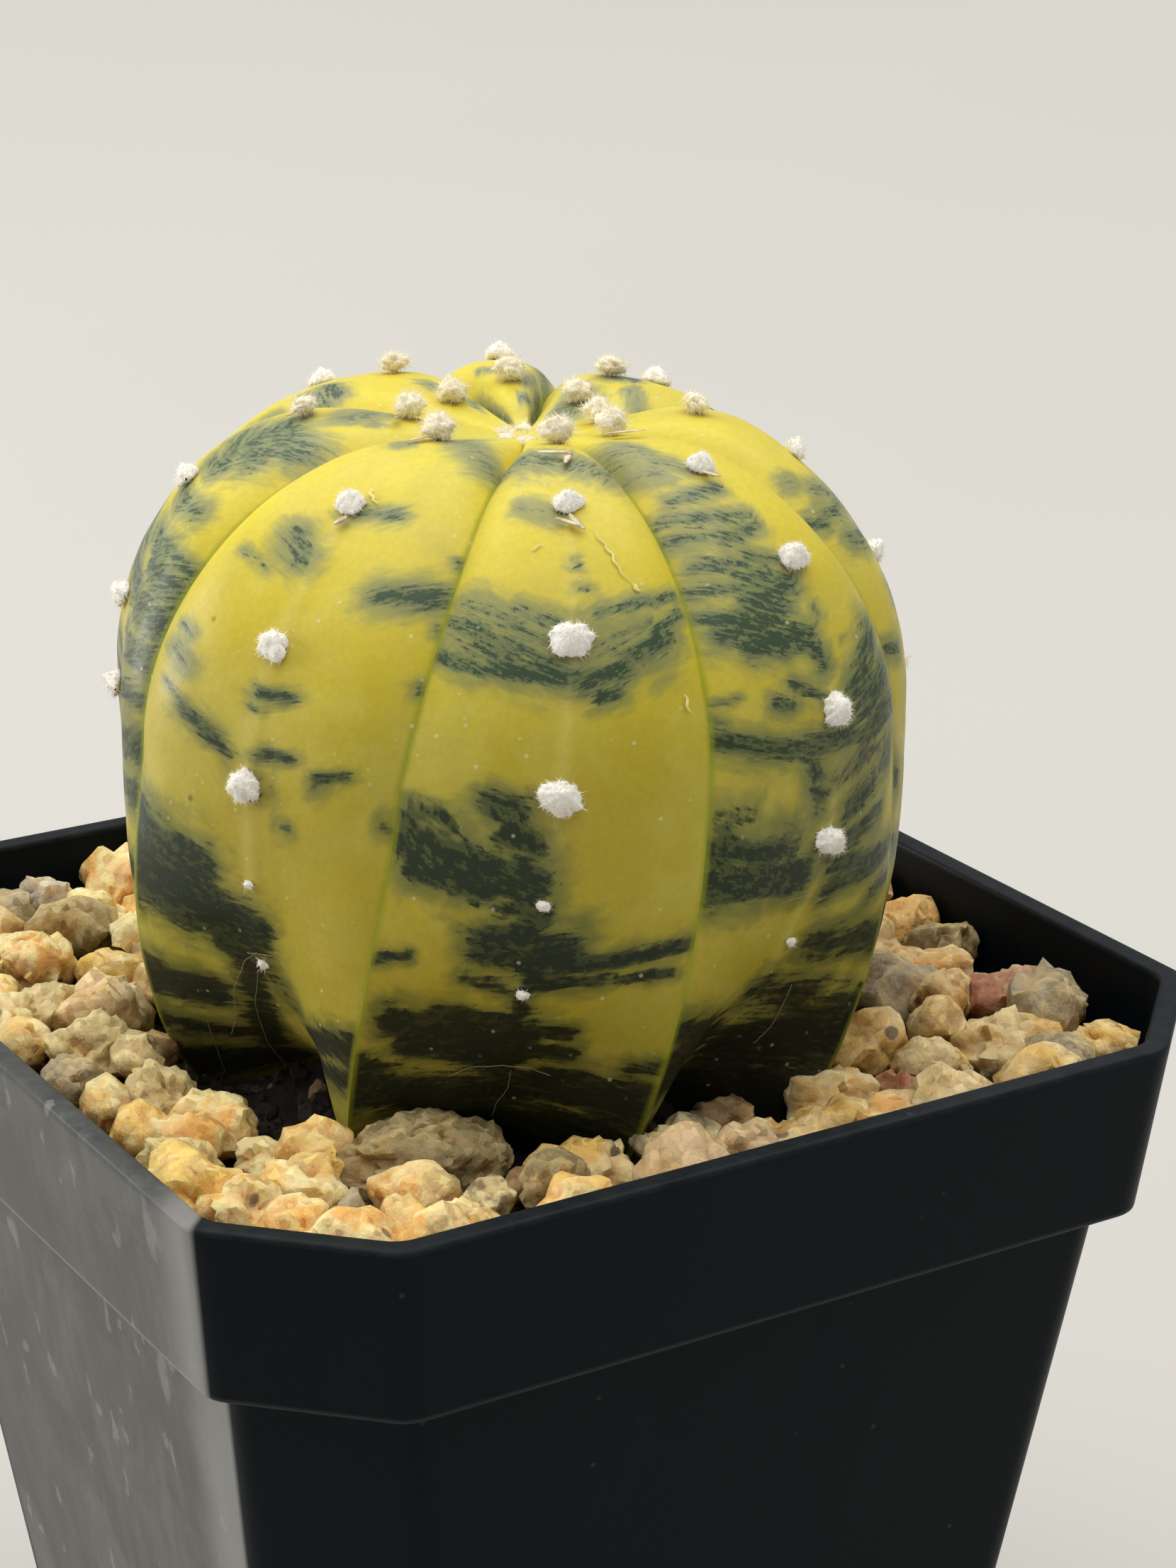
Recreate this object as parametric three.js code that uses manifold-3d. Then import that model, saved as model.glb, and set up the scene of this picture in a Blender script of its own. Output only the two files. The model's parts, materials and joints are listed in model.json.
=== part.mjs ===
// Potted variegated sand dollar cactus: a ribbed ball of a stem with woolly tufts, standing in angular
// grit over potting soil, in a square plastic pot with cut corners.
//
// Millimetres, +Z up. The origin is under the middle of the pot, on the surface that it stands on. The
// four sides of the pot face along X and Y.

import * as THREE from "three";
import { mergeVertices } from "three/addons/utils/BufferGeometryUtils.js";
import Module from "manifold-3d";

const wasm = await Module();
wasm.setup();

// Pot: thin moulded plastic, with a deep rim band and a tapered body
const POT_WIDTH = 75;
const POT_HEIGHT = 75;
const CORNER_CUT = 9.2;
const BAND_FOOT_CUT = 8.8;
const BODY_CUT = 8;
const CORNER_ROUND = 2.6;
const BAND_HEIGHT = 12.3;
const BAND_TAPER = 1.5;
const LEDGE = 2.1;
const LEDGE_FALL = 0.7;
const BODY_SLOPE = 0.137;
const RIM_WALL = 1.65;
const BODY_WALL = 1.3;
const FLOOR_THICKNESS = 1.8;
const RIM_ROUND = 0.35;
const FOOT_ROUND = 0.8;
const MIDDLE_DRAIN = { diameter: 9, count: 1, out: 0 };
const CORNER_DRAIN = { diameter: 6, count: 4, out: 20 };

// Fill: the gap is what a piece keeps from its neighbour
const GAP = 0.35;
const STEM_GAP = 0.5;
const SOIL_TOP = 61;
const ROOT_HOLE = { top: 8.6, bottom: 4.6, depth: 31 };

// Stem: a body of eight ribs. Its section is worked out along a meridian, whose angle is 0 at the crown,
// 90 at the widest ring and 150 where the ribs end in the grit.
const RIBS = 8;
const STEM_X = 0.5;
const STEM_Y = 0.9;
const STEM_RADIUS = 27.3;
const STEM_MIDDLE = 94.8;
const STEM_UP = 21.6;
const STEM_DOWN = 31.7;
const UP_POWER = 2.03;
const DOWN_POWER = 2.51;
const LEAN_X = 0.065;
const LEAN_Y = 0.124;
const CROWN_DIP = { depth: 5.3, radius: 11.6 };
const CROWN_SHIFT = { x: 0.4, y: -3.3 };
const OVAL = { two: -0.05, twoSine: -0.013, three: -0.022 };
const GROOVE_DEPTH = { crown: 2.6, middle: 0.8, foot: -2.6 };
const GROOVE_POWER = 4.2;
const FRONT_RIB = -115;

// Every rib grew a little differently. The lists go round the stem from the front rib, to its right first.
const GROOVE_TURN = [0.5, -3, -4, 1, -5, 0.5, -1, 3.5];
const GROOVE_TURN_FOOT = [-12, -21, 0, 2, -3, -5, -20, -18];
const GROOVE_TURN_CROWN = [4, -7, -8, 3, -11, -8, 10, 17];
const RIB_TURN_FOOT = [0, -8, 3, 0, 0, 0, -5, 12];
const RIB_SWELL = [0.8, -0.7, 0, 0.4, 1.2, 0.1, -1.5, -1];
const RIB_HOLLOW_FOOT = [2.6, 4, 1.5, 0.5, -0.5, 0.5, 2.2, 4.8];

// Woolly tufts of each rib: meridian angle, place across the rib (-1 to 1) and diameter
const TUFTS = [
  [[17, 0.3, 3.2], [42, 0, 2.4], [65, 0, 2.7], [88, 0, 3], [97, 0, 0.9], [107, 0, 0.9]],
  [[16, 0.3, 3.2], [36, 0, 2.5], [56.5, 0.15, 2.5], [82, 0, 2.8], [96, 0.05, 2.7], [106.5, 0.05, 0.8]],
  [[11, 0.3, 3], [27, 0, 2.8], [47, 0.1, 2.5], [69, 0, 2.5], [90, 0, 2.6]],
  [[13, 0, 3], [27, 0.2, 3], [38, 0, 2.6], [57, 0, 2.5], [77, 0, 2.6], [94, 0, 2]],
  [[18, 0, 3], [33, 0, 2.5], [52, 0, 2.5], [72, 0, 2.7], [91, 0, 2.4]],
  [[13, 0, 3], [28, -0.3, 2.9], [40, 0, 2.6], [58, 0, 2.5], [78, 0, 2.6], [95, 0, 1.8]],
  [[14, -0.3, 3.2], [29, -0.25, 2.8], [52, -0.3, 2.5], [77, -0.35, 2.6], [91, -0.35, 2.6]],
  [[17, -0.3, 3.2], [43, 0, 2.5], [69, 0, 2.6], [91, 0, 2.8], [100, 0, 0.8], [111, 0, 0.9]],
];
const YOUNG_TUFT_ANGLE = 31;
const YOUNG_TUFT_HEIGHT = 1.15;
const GROWN_TUFT_HEIGHT = 0.8;
const TUFT_SUNK = 0.3;
const CROWN_WOOL = { width: 7, height: 3.4 };

// Steps of the stem's faces
const STEPS_ACROSS_RIB = 8;
const MERIDIAN = [5, 9, 13, 18, 24, 31, 38, 46, 54, 62, 70, 78, 86, 94, 102, 110, 118, 126, 134, 142, 150];
const CUT_MERIDIAN = [60, 94, 102, 110, 118, 126, 134, 142, 150];
const ROOT = { x: -1.5, y: -3, tip: 31.5, rings: [[14, 63], [8, 62], [6.4, 54], [4.6, 44], [2.6, 34]] };

// Grit: the stones that show most lie where the eye finds them. Each row gives the place of the middle in
// plan, the height of the top, the length, width and thickness, and the turn of the length from X.
const PLACED_STONES = [
  [-20, 32, 74.2, 5, 4.2, 6, -50],
  [-18, 29, 73, 5, 4.2, 4.4, -20],
  [-17.5, 26, 72.2, 4, 3.4, 3.6, 30],
  [-25.5, 21.5, 73.4, 7, 6.2, 5, -50],
  [-21.5, 17.5, 72.8, 5, 4, 4.6, -40],
  [-28.5, 13, 73.4, 5, 4.2, 4, -20],
  [-31, 17, 73.2, 4, 3.4, 3.6, 20],
  [-22.5, 13, 72.2, 3.6, 3.2, 4, -10],
  [-24, 5, 72.2, 3.6, 3, 3.6, -50],
  [-28.5, 6, 73.6, 6.4, 5.4, 4.6, -10],
  [-32, 9, 73.3, 4, 3.6, 3.6, 0],
  [-31.5, 1.5, 73, 4.6, 4, 3.6, -20],
  [-31.5, -3, 73.1, 3.6, 3.4, 3.6, 10],
  [-27, -2, 72.8, 6.2, 5, 4.2, -30],
  [-31.5, -8, 73.2, 4, 3.4, 3.6, -60],
  [-26, -8, 72.8, 6.2, 5, 4.8, -50],
  [-31.5, -14, 73.8, 5.4, 4.8, 5, -60],
  [-31, -22, 73.6, 5.2, 4.8, 4.2, 0],
  [-25, -13.5, 72, 4.8, 3.8, 3.6, -30],
  [-26, -20.5, 73.4, 6.2, 5.4, 4.8, -10],
  [-25.5, -25.5, 73.4, 3.2, 2.6, 4, 50],
  [-23, -28, 73.6, 3.4, 3, 4.4, -50],
  [-17.8, -19.4, 73.6, 11.4, 7, 5.8, -20],
  [-20, -30.5, 73.8, 4.4, 3.8, 4.4, -40],
  [-17, -27.5, 73, 3.6, 3, 3.6, 0],
  [-13.5, -25.5, 72, 3.2, 2.8, 3.4, -20],
  [-9, -26.5, 72.8, 6.2, 5, 4.4, -40],
  [-2.5, -27, 72.8, 6.2, 4.8, 4.4, -20],
  [2.5, -23.5, 72, 4.8, 4, 4.2, -20],
  [4, -29, 72.4, 4.4, 3.8, 3.6, -50],
  [10.5, -24.5, 73, 7, 5.6, 5.6, -30],
  [15, -27, 72.2, 3.8, 3.2, 3.8, -60],
  [18, -30, 72.4, 5, 4, 3.8, -20],
  [20, -23, 72.4, 6, 4.6, 4.4, -60],
  [20.5, -16.5, 71.6, 4, 3.6, 4, -10],
  [28, -11, 73.2, 6.2, 5.2, 5.4, 0],
  [32.5, -7.5, 73, 5.4, 4.4, 4.6, 0],
  [31, -17.5, 73, 6.4, 5.8, 5, -20],
  [26, -23.5, 73.2, 7.2, 6.2, 5.4, -50],
  [30.5, -28, 72.6, 6.8, 5.6, 4.2, -20],
];
const SCATTER = { seed: 11, tries: 2600, largest: 6.6, smallest: 4, closest: 0.7 };
const STONE_CUTS = 11;
const PLACED_BALL = new THREE.OctahedronGeometry(1, 1);
const SCATTERED_BALL = new THREE.IcosahedronGeometry(1, 0);
const STONE_RISE = 1.2;

// Level of the stones' middles, which falls a little to the right and to the back, and of the bed below
const GRIT_LEVEL = { middle: 71.3, alongX: -0.012, alongY: -0.01 };
const BED_BELOW = 1;
const STEM_FOOT_RADIUS = 24;

const POT_COLOUR = "#16181a";
const SOIL_COLOUR = "#2c2019";
const GRIT_COLOUR = "#c9ab78";
const STEM_COLOUR = "#bdb03c";

const radians = THREE.MathUtils.degToRad;
const clamp = THREE.MathUtils.clamp;

// A repeatable stream of draws between 0 and 1
function drawsFrom(seed) {
  let state = seed >>> 0;
  return () => {
    state = (state + 0x6d2b79f5) >>> 0;
    let mixed = Math.imul(state ^ (state >>> 15), state | 1);
    mixed ^= mixed + Math.imul(mixed ^ (mixed >>> 7), mixed | 61);
    return ((mixed ^ (mixed >>> 14)) >>> 0) / 4294967296;
  };
}

// Rings of points, one above the other in their order, joined by a skin that ends in a point at each end
function skin(rings, start, end) {
  const sides = rings[0].length;
  const points = [start, ...rings.flat(), end];
  const triangles = [];
  const at = (ring, side) => 1 + ring * sides + (side % sides);
  for (let side = 0; side < sides; side++) {
    triangles.push(0, at(0, side + 1), at(0, side));
    triangles.push(points.length - 1, at(rings.length - 1, side), at(rings.length - 1, side + 1));
    for (let ring = 0; ring + 1 < rings.length; ring++) {
      triangles.push(at(ring, side), at(ring, side + 1), at(ring + 1, side + 1));
      triangles.push(at(ring, side), at(ring + 1, side + 1), at(ring + 1, side));
    }
  }
  const geometry = new THREE.BufferGeometry();
  geometry.setAttribute("position", new THREE.Float32BufferAttribute(points.flatMap((p) => p.toArray()), 3));
  geometry.setIndex(triangles);
  return geometry;
}

function solidOf(geometry) {
  const bare = geometry.clone();
  bare.deleteAttribute("normal");
  bare.deleteAttribute("uv");
  const merged = mergeVertices(bare, 1e-4);
  return new wasm.Manifold(new wasm.Mesh({
    numProp: 3,
    vertProperties: new Float32Array(merged.attributes.position.array),
    triVerts: new Uint32Array(merged.index.array),
  }));
}

function geometryOf(solid) {
  const mesh = solid.getMesh();
  const geometry = new THREE.BufferGeometry();
  geometry.setAttribute("position", new THREE.BufferAttribute(new Float32Array(mesh.vertProperties), 3));
  geometry.setIndex(new THREE.BufferAttribute(new Uint32Array(mesh.triVerts), 1));
  return geometry;
}

// The largest closed body of a solid, without loose scraps
function mainBody(solid) {
  return solid.decompose().reduce((best, body) => (body.volume() > best.volume() ? body : best));
}

// A square with cut corners, as one ring: its sides' distance inwards from the rim's outside, the leg of
// the cut at its corners, and its height
function potRing({ inset, cut, z }) {
  const half = POT_WIDTH / 2 - inset;
  const round = CORNER_ROUND * Math.tan(Math.PI / 8);
  const ring = [];
  for (let corner = 0; corner < 4; corner++) {
    const turn = (corner * Math.PI) / 2;
    const cutEnds = [new THREE.Vector2(half, half - cut), new THREE.Vector2(half - cut, half)];
    const sides = [90, 135, 180].map(radians);
    const along = sides.map((angle) => new THREE.Vector2(Math.cos(angle), Math.sin(angle)));
    cutEnds.forEach((point, index) => {
      const before = point.clone().addScaledVector(along[index], -round);
      const after = point.clone().addScaledVector(along[index + 1], round);
      const bend = new THREE.QuadraticBezierCurve(before, point, after);
      bend.getPoints(2).forEach((p) => {
        p.rotateAround(new THREE.Vector2(), turn);
        ring.push(new THREE.Vector3(p.x, p.y, z));
      });
    });
  }
  return ring;
}

const BAND_BOTTOM = POT_HEIGHT - BAND_HEIGHT;
const BODY_TOP_INSET = BAND_TAPER + LEDGE;
const bodyInset = (z) => BODY_TOP_INSET + (BAND_BOTTOM - z) * BODY_SLOPE;

// The same ring moved inwards, parallel to its sides and its corner cuts
function inwards({ inset, cut, z }, distance) {
  return { inset: inset + distance, cut: cut - distance * (2 - Math.SQRT2), z };
}

// Inside wall of the pot, from the floor to the rim
const INSIDE = [
  inwards({ inset: bodyInset(FLOOR_THICKNESS), cut: BODY_CUT, z: FLOOR_THICKNESS }, BODY_WALL),
  inwards({ inset: bodyInset(BAND_BOTTOM), cut: BODY_CUT, z: BAND_BOTTOM }, BODY_WALL),
  inwards({ inset: BAND_TAPER, cut: BAND_FOOT_CUT, z: BAND_BOTTOM + LEDGE }, RIM_WALL),
  inwards({ inset: 0, cut: CORNER_CUT, z: POT_HEIGHT }, RIM_WALL),
];

function insideAt(z) {
  const above = clamp(INSIDE.findIndex((ring) => ring.z > z), 1, INSIDE.length - 1);
  const upper = z < POT_HEIGHT ? INSIDE[above] : INSIDE[INSIDE.length - 1];
  const lower = z < POT_HEIGHT ? INSIDE[above - 1] : INSIDE[INSIDE.length - 2];
  const between = (key) => THREE.MathUtils.mapLinear(z, lower.z, upper.z, lower[key], upper[key]);
  return { inset: between("inset"), cut: between("cut"), z };
}

function potSkin(profile) {
  const start = new THREE.Vector3(0, 0, profile[0].z);
  const end = new THREE.Vector3(0, 0, profile[profile.length - 1].z);
  return skin(profile.map(potRing), start, end);
}

function makePot() {
  const foot = { inset: bodyInset(0), cut: BODY_CUT, z: FOOT_ROUND };
  const edge = { inset: 0, cut: CORNER_CUT, z: POT_HEIGHT - RIM_ROUND };
  const profile = [
    { ...inwards(foot, FOOT_ROUND), z: 0 },
    foot,
    { inset: BODY_TOP_INSET, cut: BODY_CUT, z: BAND_BOTTOM + LEDGE_FALL },
    { inset: BAND_TAPER, cut: BAND_FOOT_CUT, z: BAND_BOTTOM },
    edge,
    { ...inwards(edge, RIM_ROUND), z: POT_HEIGHT },
    { ...inwards(edge, RIM_WALL - RIM_ROUND), z: POT_HEIGHT },
    inwards(edge, RIM_WALL),
    ...INSIDE.slice(0, -1).reverse(),
  ];
  let pot = solidOf(potSkin(profile));
  for (const drain of [MIDDLE_DRAIN, CORNER_DRAIN]) {
    for (let index = 0; index < drain.count; index++) {
      const angle = Math.PI / 4 + (index * 2 * Math.PI) / drain.count;
      const radius = drain.diameter / 2;
      const drill = new THREE.CylinderGeometry(radius, radius, FLOOR_THICKNESS * 3, 20);
      drill.rotateX(Math.PI / 2);
      drill.translate(drain.out * Math.cos(angle), drain.out * Math.sin(angle), 0);
      pot = pot.subtract(solidOf(drill));
    }
  }
  return geometryOf(pot);
}

// What the pot can hold, a gap clear of its walls, between two heights
function potFill(low, high) {
  const breaks = INSIDE.map((ring) => ring.z).filter((z) => z > low && z < high);
  return potSkin([low, ...breaks, high].map((z) => inwards(insideAt(z), GAP)));
}

function makeSoil() {
  const hole = new THREE.CylinderGeometry(ROOT_HOLE.top, ROOT_HOLE.bottom, ROOT_HOLE.depth, 20);
  hole.rotateX(Math.PI / 2);
  hole.translate(ROOT.x, ROOT.y, SOIL_TOP + 1 - ROOT_HOLE.depth / 2);
  return geometryOf(solidOf(potFill(FLOOR_THICKNESS + GAP, SOIL_TOP)).subtract(solidOf(hole)));
}

const around = (index) => (index + RIBS) % RIBS;

// Bearing of the groove on the right of a rib, at a meridian angle
function grooveBearing(index, angle) {
  const low = clamp((angle - 90) / 60, 0, 1.2);
  const high = clamp((90 - angle) / 90, 0, 1);
  const rib = around(index);
  const turn = GROOVE_TURN[rib] + GROOVE_TURN_FOOT[rib] * low + GROOVE_TURN_CROWN[rib] * high;
  return FRONT_RIB + ((index + 0.5) * 360) / RIBS + turn;
}

// A point of the stem's skin, at a place across a rib (-1 to 1) and a meridian angle, raised off the skin
function stemPoint(rib, across, angle, raised = 0) {
  const up = angle <= 90;
  const sine = Math.sin(radians(angle));
  const cosine = Math.cos(radians(angle));
  const power = up ? UP_POWER : DOWN_POWER;
  const reach = up ? STEM_UP : STEM_DOWN;
  const radius = STEM_RADIUS * sine ** (2 / power);
  const dip = CROWN_DIP.depth * Math.exp(-((radius / CROWN_DIP.radius) ** 2));
  const height = reach * Math.sign(cosine) * Math.abs(cosine) ** (2 / power) - dip;
  const facing = new THREE.Vector2(
    sine ** (2 - 2 / power) / STEM_RADIUS,
    (Math.sign(cosine) * Math.abs(cosine) ** (2 - 2 / power)) / reach,
  ).normalize();

  const toMiddle = clamp(angle / 90, 0, 1);
  const toFoot = clamp((angle - 92) / 51.5, 0, 1);
  const depth = GROOVE_DEPTH.crown + (GROOVE_DEPTH.middle - GROOVE_DEPTH.crown) * toMiddle
    + (GROOVE_DEPTH.foot - GROOVE_DEPTH.middle) * toFoot;
  const bulge = Math.cos((Math.PI / 2) * across) ** 2;
  const swell = RIB_SWELL[rib] * bulge * Math.sin(radians(angle)) ** 2;
  const hollow = RIB_HOLLOW_FOOT[rib] * toFoot ** 1.5 * bulge;
  const groove = depth * THREE.MathUtils.smoothstep(radius, 0, 9) * Math.abs(across) ** GROOVE_POWER;
  const push = swell - groove - hollow + raised;

  const left = grooveBearing(rib - 1, angle);
  const right = grooveBearing(rib, angle);
  const turnLow = RIB_TURN_FOOT[rib] * bulge * clamp((angle - 90) / 60, 0, 1.2);
  const bearing = radians((left + right) / 2 + (across * (right - left)) / 2 + turnLow);
  const oval = OVAL.two * Math.cos(2 * bearing) + OVAL.twoSine * Math.sin(2 * bearing)
    + OVAL.three * Math.cos(3 * bearing);
  const out = (radius + facing.x * push) * (1 + oval * THREE.MathUtils.smoothstep(radius, 0, 12));
  const z = height + facing.y * push;
  const nearCrown = up ? (1 - radius / STEM_RADIUS) ** 2 : 0;
  return new THREE.Vector3(
    STEM_X + out * Math.cos(bearing) + CROWN_SHIFT.x * nearCrown + LEAN_X * z,
    STEM_Y + out * Math.sin(bearing) + CROWN_SHIFT.y * nearCrown + LEAN_Y * z,
    STEM_MIDDLE + z,
  );
}

function stemRing(angle, raised) {
  const ring = [];
  for (let rib = 0; rib < RIBS; rib++) {
    for (let step = 0; step < STEPS_ACROSS_RIB; step++) {
      ring.push(stemPoint(rib, (2 * step) / STEPS_ACROSS_RIB - 1, angle, raised));
    }
  }
  return ring;
}

// A round ring of the root, its points on the bearings of the last ring above it
function rootRing(radius, z, above) {
  return above.map((point) => {
    const bearing = Math.atan2(point.y - ROOT.y, point.x - ROOT.x);
    return new THREE.Vector3(ROOT.x + radius * Math.cos(bearing), ROOT.y + radius * Math.sin(bearing), z);
  });
}

// The stem's skin from a point at the top, down the given meridian angles, to the tip of the root
function stemSkin(angles, raised) {
  const rings = angles.map((angle) => stemRing(angle, raised));
  const top = new THREE.Box3().setFromPoints(rings[0]).getCenter(new THREE.Vector3());
  const last = rings[rings.length - 1];
  ROOT.rings.forEach(([radius, z]) => rings.push(rootRing(radius + raised, z - raised, last)));
  const tip = new THREE.Vector3(ROOT.x, ROOT.y, ROOT.tip - raised);
  return skin(rings.reverse(), tip, top);
}

function makeStem() {
  const draw = drawsFrom(5);
  const solids = [solidOf(stemSkin(MERIDIAN, 0))];
  TUFTS.forEach((tufts, rib) => tufts.forEach(([angle, across, diameter]) => {
    const foot = stemPoint(rib, across, angle);
    const out = stemPoint(rib, across, angle, 1).sub(foot).normalize();
    const tuft = new THREE.IcosahedronGeometry(diameter / 2, 0);
    tuft.rotateZ(draw() * 2 * Math.PI);
    const height = angle < YOUNG_TUFT_ANGLE ? YOUNG_TUFT_HEIGHT : GROWN_TUFT_HEIGHT;
    tuft.scale(1, 1, height);
    tuft.applyQuaternion(new THREE.Quaternion().setFromUnitVectors(new THREE.Vector3(0, 0, 1), out));
    const middle = foot.addScaledVector(out, (diameter / 2) * height * (1 - 2 * TUFT_SUNK));
    tuft.translate(middle.x, middle.y, middle.z);
    solids.push(solidOf(tuft));
  }));
  const crown = stemPoint(0, 0, MERIDIAN[0]);
  const wool = new THREE.IcosahedronGeometry(CROWN_WOOL.width / 2, 1);
  wool.scale(1, 1, CROWN_WOOL.height / CROWN_WOOL.width);
  wool.translate(crown.x, crown.y, crown.z);
  solids.push(solidOf(wool));
  return geometryOf(mainBody(wasm.Manifold.union(solids)));
}

// One stone: an egg with flat faces cut off it all round, then turned and set in its place
function stoneSolid({ x, y, z, size, turn, ball }, draw) {
  const cuts = [];
  for (let index = 0; index < STONE_CUTS; index++) {
    const height = 2 * draw() - 1;
    const bearing = 2 * Math.PI * draw();
    const side = Math.sqrt(1 - height * height);
    const normal = new THREE.Vector3(side * Math.cos(bearing), side * Math.sin(bearing), height);
    cuts.push({ normal, depth: 0.72 + 0.26 * draw() });
  }
  const stone = ball.clone();
  const points = stone.attributes.position;
  const point = new THREE.Vector3();
  for (let index = 0; index < points.count; index++) {
    point.fromBufferAttribute(points, index).normalize();
    const reach = cuts.reduce((least, { normal, depth }) => {
      const facing = normal.dot(point);
      return facing > 0.1 ? Math.min(least, depth / facing) : least;
    }, 1.12);
    point.multiplyScalar(reach / 2);
    points.setXYZ(index, point.x * size[0], point.y * size[1], point.z * size[2]);
  }
  stone.rotateZ(turn);
  stone.translate(x, y, z);
  return solidOf(stone);
}

// How far a place lies inside the pot's wall at a height
function roomInside(x, y, z) {
  const wall = insideAt(z);
  const half = POT_WIDTH / 2 - wall.inset;
  const across = Math.abs(x);
  const along = Math.abs(y);
  const toCut = (2 * half - wall.cut - across - along) * Math.SQRT1_2;
  return Math.min(half - across, half - along, toCut);
}

function gritLevel(x, y) {
  return GRIT_LEVEL.middle + GRIT_LEVEL.alongX * x + GRIT_LEVEL.alongY * y;
}

// The packed layer that the stones are bedded in, with its top on the slope of the grit
function gritBed() {
  const bed = potFill(SOIL_TOP + GAP, GRIT_LEVEL.middle);
  const points = bed.attributes.position;
  for (let index = 0; index < points.count; index++) {
    if (points.getZ(index) < GRIT_LEVEL.middle - 1e-3) continue;
    points.setZ(index, gritLevel(points.getX(index), points.getY(index)) - BED_BELOW);
  }
  return solidOf(bed);
}

// The placed stones, then stones dropped one by one wherever there is room, larger ones first
function gritStones() {
  const draw = drawsFrom(SCATTER.seed);
  const stones = PLACED_STONES.map(([x, y, top, length, width, thickness, turn]) => ({
    x,
    y,
    z: top - thickness / 2,
    size: [length, width, thickness],
    turn: radians(turn),
    ball: PLACED_BALL,
  }));
  for (let attempt = 0; attempt < SCATTER.tries; attempt++) {
    const done = attempt / SCATTER.tries;
    const x = (draw() - 0.5) * POT_WIDTH;
    const y = (draw() - 0.5) * POT_WIDTH;
    const span = SCATTER.largest + (SCATTER.smallest - SCATTER.largest) * done + (draw() - 0.5);
    const stretch = 0.8 + 0.4 * draw();
    const flat = 0.7 + 0.25 * draw();
    const rise = (draw() - 0.5) * STONE_RISE;
    const turn = draw() * 2 * Math.PI;
    const z = gritLevel(x, y) + rise;
    const fromStem = Math.hypot(x - ROOT.x, y - ROOT.y) - STEM_FOOT_RADIUS;
    const crowded = stones.some((other) => (
      Math.hypot(x - other.x, y - other.y) < (SCATTER.closest * (span + other.size[0])) / 2));
    if (crowded || fromStem < span * 0.1 || roomInside(x, y, z) < span * 0.38) continue;
    const size = [span * stretch, span / stretch, span * flat];
    stones.push({ x, y, z, size, turn, ball: SCATTERED_BALL });
  }
  return stones;
}

function makeGrit() {
  const draw = drawsFrom(SCATTER.seed + 1);
  const stones = gritStones().map((stone) => stoneSolid(stone, draw));
  const inside = solidOf(potFill(SOIL_TOP + GAP, POT_HEIGHT + 5));
  const socket = solidOf(stemSkin(CUT_MERIDIAN, STEM_GAP));
  const heap = wasm.Manifold.union([gritBed(), ...stones]);
  return geometryOf(mainBody(heap.intersect(inside).subtract(socket)));
}

function piece(name, geometry, colour, roughness) {
  const material = new THREE.MeshStandardMaterial({ color: colour, roughness, metalness: 0 });
  const mesh = new THREE.Mesh(geometry, material);
  mesh.name = name;
  return mesh;
}

const cactus = new THREE.Group();
cactus.add(piece("pot", makePot(), POT_COLOUR, 0.5));
cactus.add(piece("soil", makeSoil(), SOIL_COLOUR, 0.95));
cactus.add(piece("grit", makeGrit(), GRIT_COLOUR, 0.6));
cactus.add(piece("stem", makeStem(), STEM_COLOUR, 0.45));

export default cactus;
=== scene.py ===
"""Looks of the potted variegated sand dollar cactus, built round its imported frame.

Lengths are in millimetres, +Z up, in the frame's own axes, until a mesh is made in metres. A place on
the stem is given as on the plant: the rib, how far across it (-1 at its left groove, 0 on its crest, 1
at its right groove) and the meridian angle (0 at the crown, 90 at the widest ring, 150 in the grit).
"""

import json
import math

import bpy
import bmesh
import numpy as np
from mathutils import Matrix, Vector, noise

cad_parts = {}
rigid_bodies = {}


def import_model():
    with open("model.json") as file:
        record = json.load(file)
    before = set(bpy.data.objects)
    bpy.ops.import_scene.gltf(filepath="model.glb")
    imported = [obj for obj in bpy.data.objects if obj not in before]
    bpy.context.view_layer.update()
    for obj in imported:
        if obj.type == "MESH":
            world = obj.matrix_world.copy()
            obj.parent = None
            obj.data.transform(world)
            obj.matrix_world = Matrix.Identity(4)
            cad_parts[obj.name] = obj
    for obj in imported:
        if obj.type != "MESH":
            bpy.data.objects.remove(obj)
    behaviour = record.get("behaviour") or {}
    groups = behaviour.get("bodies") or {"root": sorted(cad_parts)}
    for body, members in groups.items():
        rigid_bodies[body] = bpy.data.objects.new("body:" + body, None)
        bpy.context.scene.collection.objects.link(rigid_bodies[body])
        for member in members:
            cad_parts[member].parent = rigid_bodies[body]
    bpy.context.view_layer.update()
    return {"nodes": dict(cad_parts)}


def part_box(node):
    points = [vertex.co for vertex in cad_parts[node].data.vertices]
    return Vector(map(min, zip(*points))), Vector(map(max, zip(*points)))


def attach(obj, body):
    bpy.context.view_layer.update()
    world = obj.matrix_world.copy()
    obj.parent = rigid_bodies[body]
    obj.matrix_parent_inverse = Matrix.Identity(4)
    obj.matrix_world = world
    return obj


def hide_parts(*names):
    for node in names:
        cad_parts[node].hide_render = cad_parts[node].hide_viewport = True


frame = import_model()

MM = 0.001

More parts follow.
